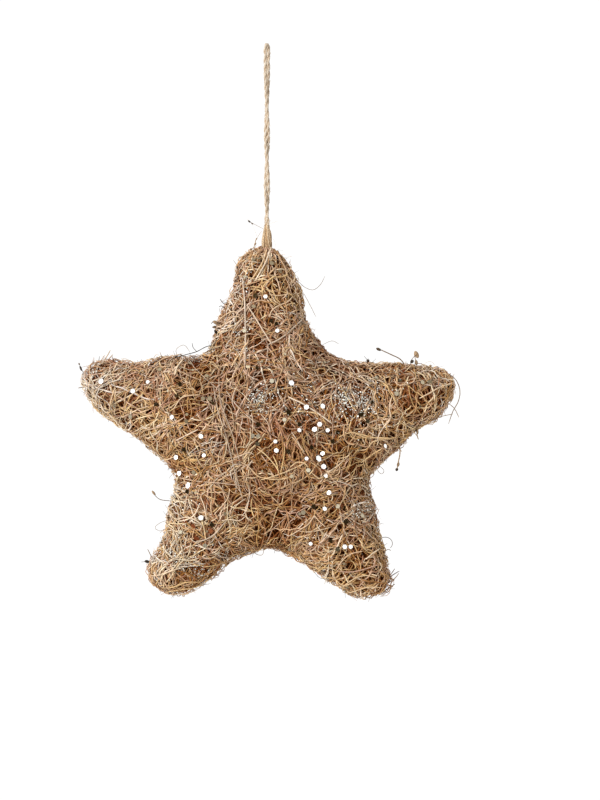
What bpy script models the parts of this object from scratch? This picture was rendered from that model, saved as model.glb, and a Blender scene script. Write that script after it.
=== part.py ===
"""Straw star ornament: a padded five-armed star of tangled straw, hung by a loop of jute twine.

Units are metres and +Z is up. The star faces -Y.
The origin is where the ornament hangs, the inside top of the twine loop.
"""
import math

import bmesh
import bpy
import numpy as np
from mathutils import Matrix, Vector
from mathutils.bvhtree import BVHTree

MM = 0.001

# The star: a round core and five tapered arms with round ends
STAR_X = 1.8 * MM
STAR_Z = -197.0 * MM
CORE_RADIUS = 43.5 * MM
CORE_FLATNESS = 0.56
TIP_FLATNESS = 0.92

# Each arm's bearing in degrees clockwise from straight up, its reach from the core's middle
# to its very end, and the radius of that end
ARMS = (
    (-2.4, 97.0 * MM, 13.8 * MM),
    (72.6, 96.8 * MM, 10.5 * MM),
    (145.0, 95.8 * MM, 11.6 * MM),
    (215.0, 92.9 * MM, 13.4 * MM),
    (288.8, 98.6 * MM, 11.2 * MM),
)

# Where the winding swells, or with a minus pulls in, the sides of the arms: how far across and
# up from the core's middle, how wide the swell is, and its height
SWELLS = (
    (-16.0 * MM, -60.0 * MM, 10.0 * MM, -4.0 * MM),
    (-5.0 * MM, -55.0 * MM, 8.0 * MM, 1.9 * MM),
    (5.0 * MM, -56.0 * MM, 6.0 * MM, -0.8 * MM),
    (22.0 * MM, -66.0 * MM, 9.0 * MM, -1.0 * MM),
    (60.0 * MM, -73.0 * MM, 7.0 * MM, 1.2 * MM),
    (-42.0 * MM, -77.0 * MM, 7.0 * MM, -1.3 * MM),
    (-60.0 * MM, -67.0 * MM, 10.0 * MM, 2.4 * MM),
    (-49.0 * MM, -21.0 * MM, 9.0 * MM, -2.5 * MM),
    (-53.0 * MM, -43.0 * MM, 10.0 * MM, -2.4 * MM),
    (54.0 * MM, -43.0 * MM, 9.0 * MM, -1.2 * MM),
    (49.0 * MM, -19.0 * MM, 6.0 * MM, -1.0 * MM),
    (52.0 * MM, -32.0 * MM, 7.0 * MM, 0.7 * MM),
    (-63.0 * MM, -3.0 * MM, 9.0 * MM, -1.5 * MM),
    (-85.0 * MM, 13.0 * MM, 8.0 * MM, 1.7 * MM),
    (-94.0 * MM, 24.0 * MM, 7.0 * MM, -0.7 * MM),
    (-92.0 * MM, 37.0 * MM, 7.0 * MM, 2.2 * MM),
    (-63.0 * MM, 41.0 * MM, 7.0 * MM, -2.5 * MM),
    (-49.0 * MM, 43.0 * MM, 10.0 * MM, 2.4 * MM),
    (-31.0 * MM, 46.0 * MM, 7.0 * MM, -3.2 * MM),
    (-29.0 * MM, 56.0 * MM, 6.0 * MM, 2.4 * MM),
    (-21.0 * MM, 74.0 * MM, 9.0 * MM, -1.6 * MM),
    (-14.0 * MM, 92.0 * MM, 6.0 * MM, 0.8 * MM),
    (8.0 * MM, 89.0 * MM, 7.0 * MM, -1.2 * MM),
    (21.0 * MM, 56.0 * MM, 9.0 * MM, -4.0 * MM),
    (30.0 * MM, 45.0 * MM, 7.0 * MM, 1.7 * MM),
    (44.0 * MM, 40.0 * MM, 7.0 * MM, -1.4 * MM),
    (67.0 * MM, 39.0 * MM, 12.0 * MM, 1.6 * MM),
    (88.0 * MM, 35.0 * MM, 7.0 * MM, -0.8 * MM),
    (91.0 * MM, 18.0 * MM, 6.0 * MM, -0.8 * MM),
    (84.0 * MM, 12.0 * MM, 7.0 * MM, 2.2 * MM),
    (67.0 * MM, -2.0 * MM, 6.0 * MM, -1.1 * MM),
    (59.0 * MM, -10.0 * MM, 9.0 * MM, 2.2 * MM),
)
ARM_SIDES = 24
ARM_RINGS = 22
LONGEST_EDGE = 20.0 * MM
SIDE_CUTS = 9
SKIN_CELL = 4.15 * MM
SMOOTHING_STEPS = 5

# The relief of the wound straw: broad diagonal hanks, and lumps between them
HANK_WAVELENGTH = 15.0 * MM
HANK_HEIGHT = 1.3 * MM
LUMP_SIZE = 11.0 * MM
LUMP_HEIGHT = 2.0 * MM

# The hanging loop: one length of twine, doubled, whose two legs wind round each other
TWINE = 1.6 * MM
EYE_RADIUS = 3.1 * MM
EYE_FACING = 76.0
EYE_STEPS = 5
LEG_GAP = 0.2 * MM
TWINE_STEP = 3.3 * MM

# Down one leg: the height, how far apart the two legs' middles are, and how many degrees
# their pair is turned from lying side by side as the star is seen from the front
LEG_STATIONS = (
    (-6.5 * MM, 5.8 * MM, 76.0),
    (-11.5 * MM, 4.7 * MM, 72.0),
    (-17.0 * MM, 3.4 * MM, 68.0),
    (-23.5 * MM, 2.3 * MM, 72.0),
    (-31.0 * MM, TWINE + LEG_GAP, 90.0),
    (-37.5 * MM, TWINE + LEG_GAP, 130.0),
    (-44.0 * MM, TWINE + LEG_GAP, 180.0),
    (-50.5 * MM, TWINE + LEG_GAP, 230.0),
    (-57.0 * MM, TWINE + LEG_GAP, 270.0),
    (-63.5 * MM, TWINE + LEG_GAP, 312.0),
    (-70.0 * MM, TWINE + LEG_GAP, 360.0),
    (-76.5 * MM, TWINE + LEG_GAP, 408.0),
    (-83.0 * MM, TWINE + LEG_GAP, 450.0),
    (-89.7 * MM, TWINE + LEG_GAP, 495.0),
)

# The knot that gathers the two legs above the star, wider towards the straw
KNOT_TOP = -90.0 * MM
KNOT_SIDES = 14
# How far below the knot's top each ring is, and its radius
KNOT_PROFILE = (
    (0.0, 1.55 * MM),
    (1.6 * MM, 1.8 * MM),
    (3.2 * MM, 2.0 * MM),
    (4.8 * MM, 2.2 * MM),
    (6.4 * MM, 2.3 * MM),
    (8.0 * MM, 2.4 * MM),
    (9.4 * MM, 2.45 * MM),
    (10.3 * MM, 2.2 * MM),
)

# The sequins: thin hexagons lying on the straw, most of one size
SEQUIN_RADIUS = 1.22 * MM
SEQUIN_UNEVENNESS = 0.04
SEQUIN_THICKNESS = 0.22 * MM
SEQUIN_SIDES = 6
LIFT = 0.4 * MM

# Where their middles are, in millimetres across and up from the core's middle.
# The first tip towards the light above, and the second stand upright and mirror the dark room
SEQUINS_TIPPED_UP = (
    (10.5, 28.5), (18.0, 16.5), (26.0, 17.0), (24.5, 8.0), (22.0, 5.5), (14.5, 5.0),
    (28.5, 5.0), (3.0, -5.0), (2.5, -0.5), (26.0, -6.5), (24.0, -9.0), (18.0, -9.0),
    (26.5, -13.0), (27.5, -17.5), (29.5, -26.0), (27.0, -34.0), (37.0, -53.0),
    (40.0, -53.0), (20.0, -51.5), (-84.5, 29.0), (-68.5, 24.5), (-61.0, 29.0),
    (-49.0, 11.5), (-34.5, 2.0), (-33.0, -7.5), (-47.0, -8.5), (-45.5, -16.5),
    (-41.0, -22.5), (-34.5, -38.5), (-2.5, 71.5), (3.5, 54.5), (57.0, -2.5),
)
SEQUINS_UPRIGHT = (
    (-7.5, 72.0), (0.5, 59.5), (3.0, 58.0), (-6.5, 36.0), (9.0, 14.0), (-6.0, 8.0),
    (14.5, 8.0), (20.5, -3.5), (31.0, -0.5), (33.5, 4.0), (45.0, 13.0), (9.0, -5.5),
    (-45.0, 28.0), (-46.5, 22.5), (-57.0, 18.0), (-43.0, -4.5), (-28.5, 18.5),
    (-41.5, -25.5), (-29.0, -42.0), (21.5, -33.0), (37.0, -33.5), (38.0, -40.5),
    (30.0, -50.0), (50.5, 19.0),
)
# Which of them, counted through both lists, are of another size, and by how much
OTHER_SIZES = (
    (1.38, (11, 28)),
    (1.15, (1, 2, 3, 5, 13, 20, 29, 33, 37, 43, 44, 52)),
    (0.88, (7, 9, 10, 12, 18, 19, 22, 25, 27, 30, 31, 34, 35, 36, 47, 49, 50, 53, 55, 56)),
)
# How they face: the elevations of the two kinds, how far they turn sideways and nod by chance,
# how much they keep to the front where the straw turns away, and the most they may be tipped
# from the straw
TIPPED_UP = math.radians(16.0)
UPRIGHT = math.radians(-1.5)
SIDEWAYS = math.radians(22.0)
NODDING = math.radians(4.0)
FRONTWARDS = 0.7
MOST_TILT = math.radians(48.0)
PLACING_STEPS = 4


def clear_scene():
    for obj in list(bpy.data.objects):
        bpy.data.objects.remove(obj, do_unlink=True)


def material(name, colour, roughness, metallic=0.0):
    made = bpy.data.materials.new(name)
    made.use_nodes = True
    shader = made.node_tree.nodes["Principled BSDF"]
    shader.inputs["Base Color"].default_value = (*colour, 1.0)
    shader.inputs["Roughness"].default_value = roughness
    shader.inputs["Metallic"].default_value = metallic
    made.diffuse_color = (*colour, 1.0)
    return made


def add_object(name, data, finish):
    obj = bpy.data.objects.new(name, data)
    bpy.context.scene.collection.objects.link(obj)
    data.materials.append(finish)
    return obj


def mesh_of(shape, name):
    mesh = bpy.data.meshes.new(name)
    shape.to_mesh(mesh)
    shape.free()
    return mesh


def add_arm(shape, bearing, reach, tip_radius):
    """One arm from the core's middle: a ball drawn out into a cone between the core and the round
    end. A point of the ball above the line where the cone meets both balls goes to the end, the
    rest stay on the core, and the depth is flattened by a share that changes along the arm."""
    length = reach - tip_radius
    meeting = (CORE_RADIUS - tip_radius) / length
    made = bmesh.ops.create_uvsphere(shape, u_segments=ARM_SIDES, v_segments=ARM_RINGS, radius=1.0)
    for vert in made["verts"]:
        at_end = vert.co.z > meeting
        radius = tip_radius if at_end else CORE_RADIUS
        along = vert.co.z * radius + (length if at_end else 0.0)
        share = min(max(along / length, 0.0), 1.0)
        flatness = CORE_FLATNESS + (TIP_FLATNESS - CORE_FLATNESS) * share
        vert.co = (vert.co.x * radius, vert.co.y * radius * flatness, along)
    turn = Matrix.Rotation(math.radians(bearing), 4, "Y")
    place = Matrix.Translation((STAR_X, 0.0, STAR_Z)) @ turn
    bmesh.ops.transform(shape, matrix=place, verts=made["verts"])


def add_swells(shape):
    """The arms' long sides are cut across, and every point goes out or in by the swells round it."""
    long_edges = [edge for edge in shape.edges if edge.calc_length() > LONGEST_EDGE]
    bmesh.ops.subdivide_edges(shape, edges=long_edges, cuts=SIDE_CUTS)
    shape.normal_update()
    for vert in shape.verts:
        total = 0.0
        for across, up, width, height in SWELLS:
            distance = math.hypot(vert.co.x - STAR_X - across, vert.co.z - STAR_Z - up)
            total += height * math.exp(-(distance / width) ** 2)
        vert.co += vert.normal * total


def add_relief(star, name, texture, height, pattern_space=None):
    relief = star.modifiers.new(name, "DISPLACE")
    relief.texture = texture
    relief.strength = height
    relief.mid_level = 0.5
    if pattern_space is not None:
        relief.texture_coords = "OBJECT"
        relief.texture_coords_object = pattern_space
    else:
        relief.texture_coords = "LOCAL"


def make_star(finish):
    """Five arms over one core, skinned as one body, smoothed, and raised into hanks and lumps."""
    shape = bmesh.new()
    for bearing, reach, tip_radius in ARMS:
        add_arm(shape, bearing, reach, tip_radius)
    add_swells(shape)
    star = add_object("star_body", mesh_of(shape, "star_body"), finish)

    skin = star.modifiers.new("One skin", "REMESH")
    skin.mode = "VOXEL"
    skin.voxel_size = SKIN_CELL
    skin.use_smooth_shade = True
    smooth = star.modifiers.new("Soft creases", "SMOOTH")
    smooth.factor = 0.5
    smooth.iterations = SMOOTHING_STEPS

    # The texture repeats its bands every 2 pi / 10 along the sum of its three coordinates
    hanks = bpy.data.textures.new("Hanks of straw", "WOOD")
    hanks.wood_type = "BANDNOISE"
    hanks.turbulence = 4.0
    hanks.noise_scale = 0.8
    band_space = bpy.data.objects.new("Hank directions", None)
    bpy.context.scene.collection.objects.link(band_space)
    bands_to_one_unit = 10.0 * math.sqrt(3.0) / math.tau
    band_space.scale = (HANK_WAVELENGTH * bands_to_one_unit,) * 3
    add_relief(star, "Hanks", hanks, HANK_HEIGHT, band_space)

    lumps = bpy.data.textures.new("Lumps of straw", "CLOUDS")
    lumps.noise_scale = LUMP_SIZE
    lumps.noise_depth = 1
    add_relief(star, "Lumps", lumps, LUMP_HEIGHT)
    return star


def leg_point(height, apart, facing, side):
    """The middle of one leg at a height: half the pair's spacing from the loop's middle line."""
    angle = math.radians(facing)
    reach = 0.5 * apart * side
    return Vector((reach * math.cos(angle), reach * math.sin(angle), height))


def loop_route():
    """Points up one leg, over the eye and down the other leg."""
    top = 0.5 * TWINE
    down = []
    for step in range(1, EYE_STEPS + 1):
        angle = 0.5 * math.pi * step / EYE_STEPS
        drop = EYE_RADIUS * (1.0 - math.cos(angle))
        down.append((top - drop, 2.0 * EYE_RADIUS * math.sin(angle), EYE_FACING))
    down.extend(LEG_STATIONS)
    up_first = [leg_point(*station, -1.0) for station in reversed(down)]
    down_second = [leg_point(*station, 1.0) for station in down]
    return up_first + [Vector((0.0, 0.0, top))] + down_second


def smooth_line(points, step):
    """A curve through all the points (a cubic between each two, with the slope of their
    neighbours), read at even steps along its length."""
    knots = np.array([tuple(p) for p in points])
    spans = np.linalg.norm(np.diff(knots, axis=0), axis=1)
    along = np.concatenate([[0.0], np.cumsum(spans)])
    slopes = np.gradient(knots, along, axis=0)
    fine = np.linspace(0.0, along[-1], 40 * len(knots))
    k = np.clip(np.searchsorted(along, fine, side="right") - 1, 0, len(spans) - 1)
    span = spans[k, None]
    t = (fine - along[k])[:, None] / span
    line = (
        (2 * t**3 - 3 * t**2 + 1) * knots[k]
        + (t**3 - 2 * t**2 + t) * span * slopes[k]
        + (3 * t**2 - 2 * t**3) * knots[k + 1]
        + (t**3 - t**2) * span * slopes[k + 1]
    )
    travelled = np.concatenate([[0.0], np.cumsum(np.linalg.norm(np.diff(line, axis=0), axis=1))])
    count = round(travelled[-1] / step) + 1
    even = np.linspace(0.0, travelled[-1], count)
    return np.stack([np.interp(even, travelled, line[:, axis]) for axis in range(3)], axis=1)


def make_loop(finish):
    points = smooth_line(loop_route(), TWINE_STEP)
    curve = bpy.data.curves.new("hanging_loop", "CURVE")
    curve.dimensions = "3D"
    curve.bevel_depth = 0.5 * TWINE
    curve.bevel_resolution = 2
    curve.use_fill_caps = True
    spline = curve.splines.new("POLY")
    spline.points.add(len(points) - 1)
    for target, point in zip(spline.points, points):
        target.co = (*point, 1.0)
    return add_object("hanging_loop", curve, finish)


def make_knot(finish):
    """A turned spindle, closed by flat ends."""
    shape = bmesh.new()
    rings = []
    for drop, radius in KNOT_PROFILE:
        ring = []
        for side in range(KNOT_SIDES):
            angle = math.tau * side / KNOT_SIDES
            ring.append(shape.verts.new(
                (radius * math.cos(angle), radius * math.sin(angle), KNOT_TOP - drop)
            ))
        rings.append(ring)
    for upper, lower in zip(rings, rings[1:]):
        for side in range(KNOT_SIDES):
            following = (side + 1) % KNOT_SIDES
            shape.faces.new((upper[side], lower[side], lower[following], upper[following]))
    shape.faces.new(rings[0])
    shape.faces.new(reversed(rings[-1]))
    bmesh.ops.recalc_face_normals(shape, faces=shape.faces)
    mesh = mesh_of(shape, "cord_knot")
    mesh.shade_smooth()
    return add_object("cord_knot", mesh, finish)


def leaning_normal(normal, elevation, sideways):
    """The surface's own direction, turned towards the front and then to the given elevation and
    sideways, by no more than MOST_TILT."""
    level = Vector((normal.x, normal.y, 0.0)).normalized()
    level = (level + FRONTWARDS * Vector((0.0, -1.0, 0.0))).normalized()
    level.rotate(Matrix.Rotation(sideways, 3, "Z"))
    wanted = level * math.cos(elevation) + Vector((0.0, 0.0, math.sin(elevation)))
    tilt = normal.angle(wanted)
    share = 1.0 if tilt < MOST_TILT else MOST_TILT / tilt
    return normal.slerp(wanted, share), tilt * share


def make_sequin(name, surface, across, up, facing_wanted, turn, radius, finish):
    """A hexagon over the straw, lifted clear of it by its own tilt. The straw is felt from the
    front a few times, each time moved aside by as much as the lift moves the hexagon back, so
    that its middle comes to the wanted point."""
    wanted = Vector((STAR_X + across * MM, -1.0, STAR_Z + up * MM))
    raised = Vector((0.0, 0.0, 0.0))
    for _ in range(PLACING_STEPS):
        start = wanted - Vector((raised.x, 0.0, raised.z))
        place, normal, _, _ = surface.ray_cast(start, Vector((0.0, 1.0, 0.0)))
        facing, tilt = leaning_normal(normal, *facing_wanted)
        lift = LIFT + 0.5 * SEQUIN_THICKNESS + radius * math.sin(tilt)
        raised = normal * lift
    middle = place + raised
    shape = bmesh.new()
    bmesh.ops.create_cone(
        shape, cap_ends=True, segments=SEQUIN_SIDES, radius1=radius, radius2=radius,
        depth=SEQUIN_THICKNESS, matrix=Matrix.Rotation(turn, 4, "Z"),
    )
    obj = add_object(name, mesh_of(shape, name), finish)
    obj.rotation_euler = facing.to_track_quat("Z", "Y").to_euler()
    obj.location = middle
    return obj


def make_sequins(star, finish):
    surface = BVHTree.FromObject(star, bpy.context.evaluated_depsgraph_get())
    places = [(*place, TIPPED_UP) for place in SEQUINS_TIPPED_UP]
    places += [(*place, UPRIGHT) for place in SEQUINS_UPRIGHT]
    size_of = {number: size for size, numbers in OTHER_SIZES for number in numbers}
    for number, (across, up, elevation) in enumerate(places, start=1):
        name = f"sequin_{number:02d}"
        turn = math.radians(37.0 * number)
        nod = NODDING * math.sin(1.3 * number) if elevation > 0.0 else 0.0
        wanted = (elevation + nod, SIDEWAYS * math.sin(2.4 * number))
        uneven = 1.0 + SEQUIN_UNEVENNESS * math.sin(1.9 * number)
        radius = SEQUIN_RADIUS * size_of.get(number, 1.0) * uneven
        make_sequin(name, surface, across, up, wanted, turn, radius, finish)


def main():
    clear_scene()
    straw = material("Straw", (0.42, 0.27, 0.13), 0.75)
    jute = material("Jute twine", (0.50, 0.36, 0.22), 0.9)
    silver = material("Silver sequin", (0.86, 0.86, 0.85), 0.15, 1.0)
    star = make_star(straw)
    make_loop(jute)
    make_knot(jute.copy())
    make_sequins(star, silver)


main()
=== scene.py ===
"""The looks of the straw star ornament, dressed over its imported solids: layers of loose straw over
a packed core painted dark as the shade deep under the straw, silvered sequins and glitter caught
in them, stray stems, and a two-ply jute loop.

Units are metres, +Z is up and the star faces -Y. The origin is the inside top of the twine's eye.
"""
import itertools
import math

import bmesh
import bpy
import numpy as np
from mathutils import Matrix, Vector


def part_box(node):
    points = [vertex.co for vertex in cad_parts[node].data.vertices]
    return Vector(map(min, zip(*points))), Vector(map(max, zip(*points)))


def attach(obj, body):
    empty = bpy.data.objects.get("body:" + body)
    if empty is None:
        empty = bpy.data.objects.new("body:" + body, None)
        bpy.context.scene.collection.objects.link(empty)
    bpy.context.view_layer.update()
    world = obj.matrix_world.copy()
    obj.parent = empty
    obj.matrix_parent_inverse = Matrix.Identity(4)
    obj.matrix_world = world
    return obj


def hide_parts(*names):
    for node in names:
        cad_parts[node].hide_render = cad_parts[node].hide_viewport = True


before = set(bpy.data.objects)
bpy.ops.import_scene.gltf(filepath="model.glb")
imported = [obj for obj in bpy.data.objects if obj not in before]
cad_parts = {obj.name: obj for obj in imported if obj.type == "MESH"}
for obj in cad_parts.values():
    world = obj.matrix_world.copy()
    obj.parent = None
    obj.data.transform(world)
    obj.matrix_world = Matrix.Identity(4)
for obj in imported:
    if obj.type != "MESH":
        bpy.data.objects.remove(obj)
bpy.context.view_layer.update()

MM = 0.001
RNG = np.random.default_rng(20)

# What a pixel of the 600 x 800 frame measures at the star, and where the frame shows the origin
PIXEL = 0.5 * MM
FRAME_WIDE = 600
FRAME_HIGH = 800
ORIGIN_ACROSS = 266.9
ORIGIN_DOWN = 46.1
CAMERA_DISTANCE = 3.0
SENSOR_HIGH = 24.0

# The key light: where it comes from (the left, the front and above), its strength, and how wide
# it is in degrees
KEY_FROM = (-0.67, -0.67, 0.27)
KEY_STRENGTH = 2.10
KEY_WIDTH = 40.0

# The twine loop, as its solid is routed: the eye, then the two legs down to the knot
TWINE = 1.6 * MM
EYE_RADIUS = 3.1 * MM
EYE_FACING = 76.0
EYE_STEPS = 5
LEG_GAP = 0.2 * MM
TWINE_STEP = 3.3 * MM
FINE_STEP = 0.35 * MM
# Down the open legs: the height, the spacing of the two legs' middles, both in millimetres, and
# the pair's turn in degrees. Down the wound legs: the height and the pair's turn
OPEN_STATIONS = ((-6.5, 5.8, 76), (-11.5, 4.7, 72), (-17, 3.4, 68), (-23.5, 2.3, 72))
WOUND_STATIONS = (
    (-31, 90), (-37.5, 130), (-44, 180), (-50.5, 230), (-57, 270), (-63.5, 312), (-70, 360),
    (-76.5, 408), (-83, 450), (-89.7, 495),
)
# Soft twine: where its legs wind, they press together to this share of their spacing
PRESSED = 0.78
PLY_RADIUS = 0.60 * MM
PLY_OFFSET = 0.33 * MM
LAY_LENGTH = 9.0 * MM
PLY_SIDES = 18
FRAY = 0.05
# The gathered ends under the loop: heights and radii of the cone that they make, in millimetres,
# and the ring round it that more straws run down from
CONE = ((-89.0, 1.2), (-91.5, 1.6), (-95.0, 2.1), (-98.0, 2.45), (-100.5, 2.5), (-103.0, 3.2))
GATHERED_RADIUS = 2.2 * MM
GATHERED_HEIGHT = -100.6 * MM

# The layers of loose straw, from the imported core outwards. Each has its name, how many straws,
# the points along each, their height over the star's solid, how far they weave up and down,
# their shortest and longest, their thinnest and thickest radius, all in millimetres, and their
# darkest and palest tone (0 dark, 1 pale). The deeper layers' darker tones are painted shade
LAYERS = (
    ("deep_straw", 1650, 9, -2.4, 0.40, 16, 32, 0.26, 0.38, 0.04, 0.34),
    ("inner_straw", 1900, 12, -1.6, 0.55, 14, 30, 0.22, 0.34, 0.12, 0.52),
    ("middle_straw", 2150, 13, -0.8, 0.65, 13, 28, 0.22, 0.36, 0.24, 0.76),
    ("outer_straw", 2250, 13, -0.1, 0.75, 11, 27, 0.20, 0.35, 0.32, 0.94),
    ("top_straw", 2150, 13, 0.50, 0.80, 10, 27, 0.17, 0.32, 0.42, 0.98),
    ("fine_straw", 500, 12, 0.60, 0.70, 9, 22, 0.10, 0.18, 0.50, 1.00),
)
CORE_LEVEL = -3.2 * MM
# The grid that heights over the star's solid are kept on: its spacing, and how far it goes past
GRID_CELL = 2.5 * MM
GRID_MARGIN = 9.0 * MM
# A line of sight is followed from this far in front of the middle plane, in so many steps, each
# by this share of the height over the solid
SIGHT_START = 30.0 * MM
SIGHT_STEPS = 40
SIGHT_SHARE = 0.7

# How straws lie in hanks: the share that lie alone, the fewest and the most in a hank (the most
# left out), the spread of the hanks' curls in radians per metre, the share of hanks
# that curl more and by how much, and the spreads of a straw's own turn and curl in its hank
LONE_SHARE = 0.60
HANK_SIZES = (3, 9)
HANK_CURL = 34.0
CURLY_SHARE = 0.18
CURLY = 2.8
STRAW_TURN = 0.36
STRAW_CURL = 25.0
# The spread of the hanks' heights about their layer's and the most of it, the least and most
# spread of a hank's straws to the side, and how far ahead or behind a straw lies in its hank
HANK_RISE = 0.38
MOST_RISE = 0.7
HANK_WIDTHS = (0.7 * MM, 2.6 * MM)
HANK_AHEAD = 6.0 * MM
# The share of the outer straws with a raised end, and the least and most that it rises
RAISED_SHARE = 0.11
RAISED = (0.4, 1.5)
# How much paler the straw is in the pale patches, as paler straw and painted light, how much
# darker it is in the shaded patches, as painted shade, and how much of the outer straw the
# shaded patches leave out
PALER_LIT = 0.33
SHADED_DARKER = 0.26
LEFT_OUT = 0.55
# How far the outer straws move out of a hollow, and how wide the painted shade on the inner
# straws in it is, by its radius
HOLLOW_PUSH = 1.1
HOLLOW_SHADE = 1.5
# The waves in which straws weave up and down and sway from side to side: shortest and longest
WEAVE_WAVES = (4.5 * MM, 10.0 * MM)
SWAY_WAVES = (14.0 * MM, 34.0 * MM)
# The share of the straws that cross over sequins and not under them. The others keep to this
# height within this distance of a sequin's middle, and may rise by this slope beyond it. Dull
# sequins count as further off by so much
CROSSING_SHARE = 0.12
UNDER_SEQUIN = -0.7 * MM
SEQUIN_REACH = 1.6 * MM
SEQUIN_SLOPE = 2.2
DULL_FURTHER = 0.9 * MM

# Which way the hanks of straw run on the front: a pixel across and down, and an angle in degrees,
# where 0 runs to the right and 90 runs up
HANK_RUNS = (
    (260, 275, 74), (235, 325, 55), (235, 350, 75), (260, 325, 103), (285, 375, 79),
    (160, 375, 57), (160, 400, 34), (110, 400, 81), (135, 375, 56), (210, 400, 78), (185, 400, 54),
    (235, 400, 62), (235, 425, 61), (185, 425, 37), (185, 450, 137), (285, 425, 128),
    (310, 400, 122), (310, 450, 126), (285, 450, 106), (260, 450, 102), (235, 475, 125),
    (285, 475, 17), (260, 477, 174), (360, 475, 53), (360, 425, 124), (360, 450, 25),
    (385, 400, 99), (435, 400, 81), (335, 400, 81), (235, 500, 78), (210, 500, 74), (185, 550, 53),
    (185, 575, 36), (285, 525, 41), (310, 525, 47), (335, 500, 72), (335, 550, 53),
    (360, 575, 177),
)
# How far off a run is followed, in pixels, by how large a share of the hanks, and how closely, in
# degrees. Round the outline, where the surface faces less than so much forwards, most hanks
# follow the outline instead, this closely in radians
HANK_RUN_REACH = 18.2
FOLLOWING_SHARE = 0.55
HANK_RUN_SPREAD = 22.0
RIM_FACING = 0.5
RIM_SHARE = 0.7
RIM_SPREAD = 0.42
# The plane in front of the star's middle plane that patches, hollows and runs are read on
FRONT_PLANE = 24.0 * MM

# Patches of the front, as pixels across and down with a radius: paler straw with painted light,
# painted shade, straw greyed by silver coating, straw of a warmer gold, and glitter dust with
# each patch's share of the specks
PALE_LIT_PATCHES = (
    (182, 512, 26), (178, 548, 24), (160, 572, 14), (98, 382, 25), (206, 526, 15), (240, 338, 8),
    (120, 400, 17), (195, 450, 10), (240, 512, 15), (378, 458, 13), (365, 481, 13), (412, 424, 11),
    (330, 575, 5), (440, 389, 13), (300, 540, 9), (233, 298, 11), (236, 268, 10), (108, 396, 13),
)
SHADED_PATCHES = (
    (200, 360, 9), (318, 350, 11), (340, 362, 8), (374, 371, 13), (393, 371, 14), (414, 373, 12),
    (432, 407, 11), (271, 532, 14), (255, 520, 8), (290, 510, 10), (265, 459, 12), (292, 455, 9),
    (320, 505, 8), (350, 566, 10), (366, 572, 10), (288, 400, 8), (265, 330, 12), (206, 581, 17),
    (300, 440, 6), (352, 396, 11), (262, 398, 12), (400, 400, 11), (250, 300, 13), (285, 300, 9),
    (262, 262, 9), (360, 445, 11), (176, 470, 10), (208, 386, 9), (300, 371, 9), (350, 470, 8),
)
GREY_PATCHES = (
    (352, 394, 22), (262, 399, 17), (210, 372, 22), (222, 412, 14), (230, 445, 14), (238, 480, 12),
    (243, 300, 8), (358, 508, 18), (178, 548, 12), (385, 372, 20), (325, 362, 18), (360, 378, 18),
    (412, 374, 16), (240, 335, 12), (300, 378, 14), (120, 385, 12), (95, 376, 14), (300, 488, 12),
    (320, 440, 9),
)
GOLD_PATCHES = (
    (270, 460, 26), (355, 455, 30), (280, 285, 26), (325, 512, 16), (300, 545, 20), (150, 420, 20),
    (185, 400, 16), (430, 395, 20), (262, 525, 34), (325, 575, 20), (365, 590, 22), (203, 582, 20),
    (185, 515, 22), (385, 370, 16), (375, 545, 16), (155, 440, 16), (342, 552, 26), (205, 528, 20),
    (110, 412, 18), (240, 512, 20), (170, 582, 20), (405, 428, 18), (205, 364, 16), (184, 460, 20),
)
DUST_PATCHES = (
    (345, 396, 8, 0.07), (362, 404, 9, 0.08), (352, 400, 20, 0.12), (256, 398, 9, 0.07),
    (266, 400, 14, 0.07), (360, 512, 11, 0.07), (95, 372, 12, 0.04), (174, 550, 12, 0.06),
    (196, 566, 13, 0.06), (385, 380, 14, 0.04), (245, 325, 9, 0.03), (245, 355, 10, 0.04),
    (242, 282, 9, 0.03), (310, 388, 14, 0.05), (188, 500, 9, 0.03), (300, 410, 14, 0.04),
)

# Hollows that show between the straws of the front, which the upper straws bend round and where
# the inner straws are painted dark as shade: a pixel across and down, and a radius in pixels
HOLLOWS = (
    (262.5, 463, 2.8), (382.5, 414, 3.2), (362, 441.5, 3), (417.5, 386.5, 3), (176.5, 380, 3),
    (340.5, 449.5, 2.6), (348, 407.5, 2.2), (318, 475.5, 2.6), (320, 486.5, 2.6),
    (203.5, 391, 2.8), (196, 363.5, 3.4), (276, 533.5, 3.6), (361.5, 413, 2.6), (227, 399.5, 2.6),
    (318.5, 509, 3.4), (350.5, 567, 3.6), (269.5, 444.5, 3), (257, 338.5, 2.8), (270, 535, 3.2),
    (364, 424.5, 3.2), (362.5, 493, 2.8), (279, 444.5, 2.4), (198, 387.5, 2.8), (340.5, 526, 2.6),
    (297.5, 391, 3.2), (375.5, 570, 2.6), (359.5, 457, 3.2), (374, 576.5, 2.6), (298.5, 505, 2.8),
    (218, 445.5, 2.4), (341.5, 464, 3), (297, 473.5, 2.8), (388, 380.5, 2.8), (242, 382.5, 2.4),
    (335, 398.5, 2.8), (395.5, 416, 2.8), (223, 559.5, 2.6), (337, 378.5, 2.8), (293, 515.5, 3),
    (346, 475.5, 3), (360, 380.5, 2.8), (295, 456.5, 3.2), (322, 371.5, 3), (354, 370.5, 3),
    (286, 324.5, 2.8), (402, 428.5, 3.2), (373, 384.5, 2.8), (180, 372.5, 2.8), (280.5, 462, 3),
    (317, 401.5, 3), (359, 542.5, 2.8), (393, 434.5, 3.2), (379, 396.5, 3.2), (420, 396.5, 3),
    (244, 427, 2.6), (240, 449.5, 2.6), (276, 512.5, 2.8), (281, 499.5, 2.8),
)
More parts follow.
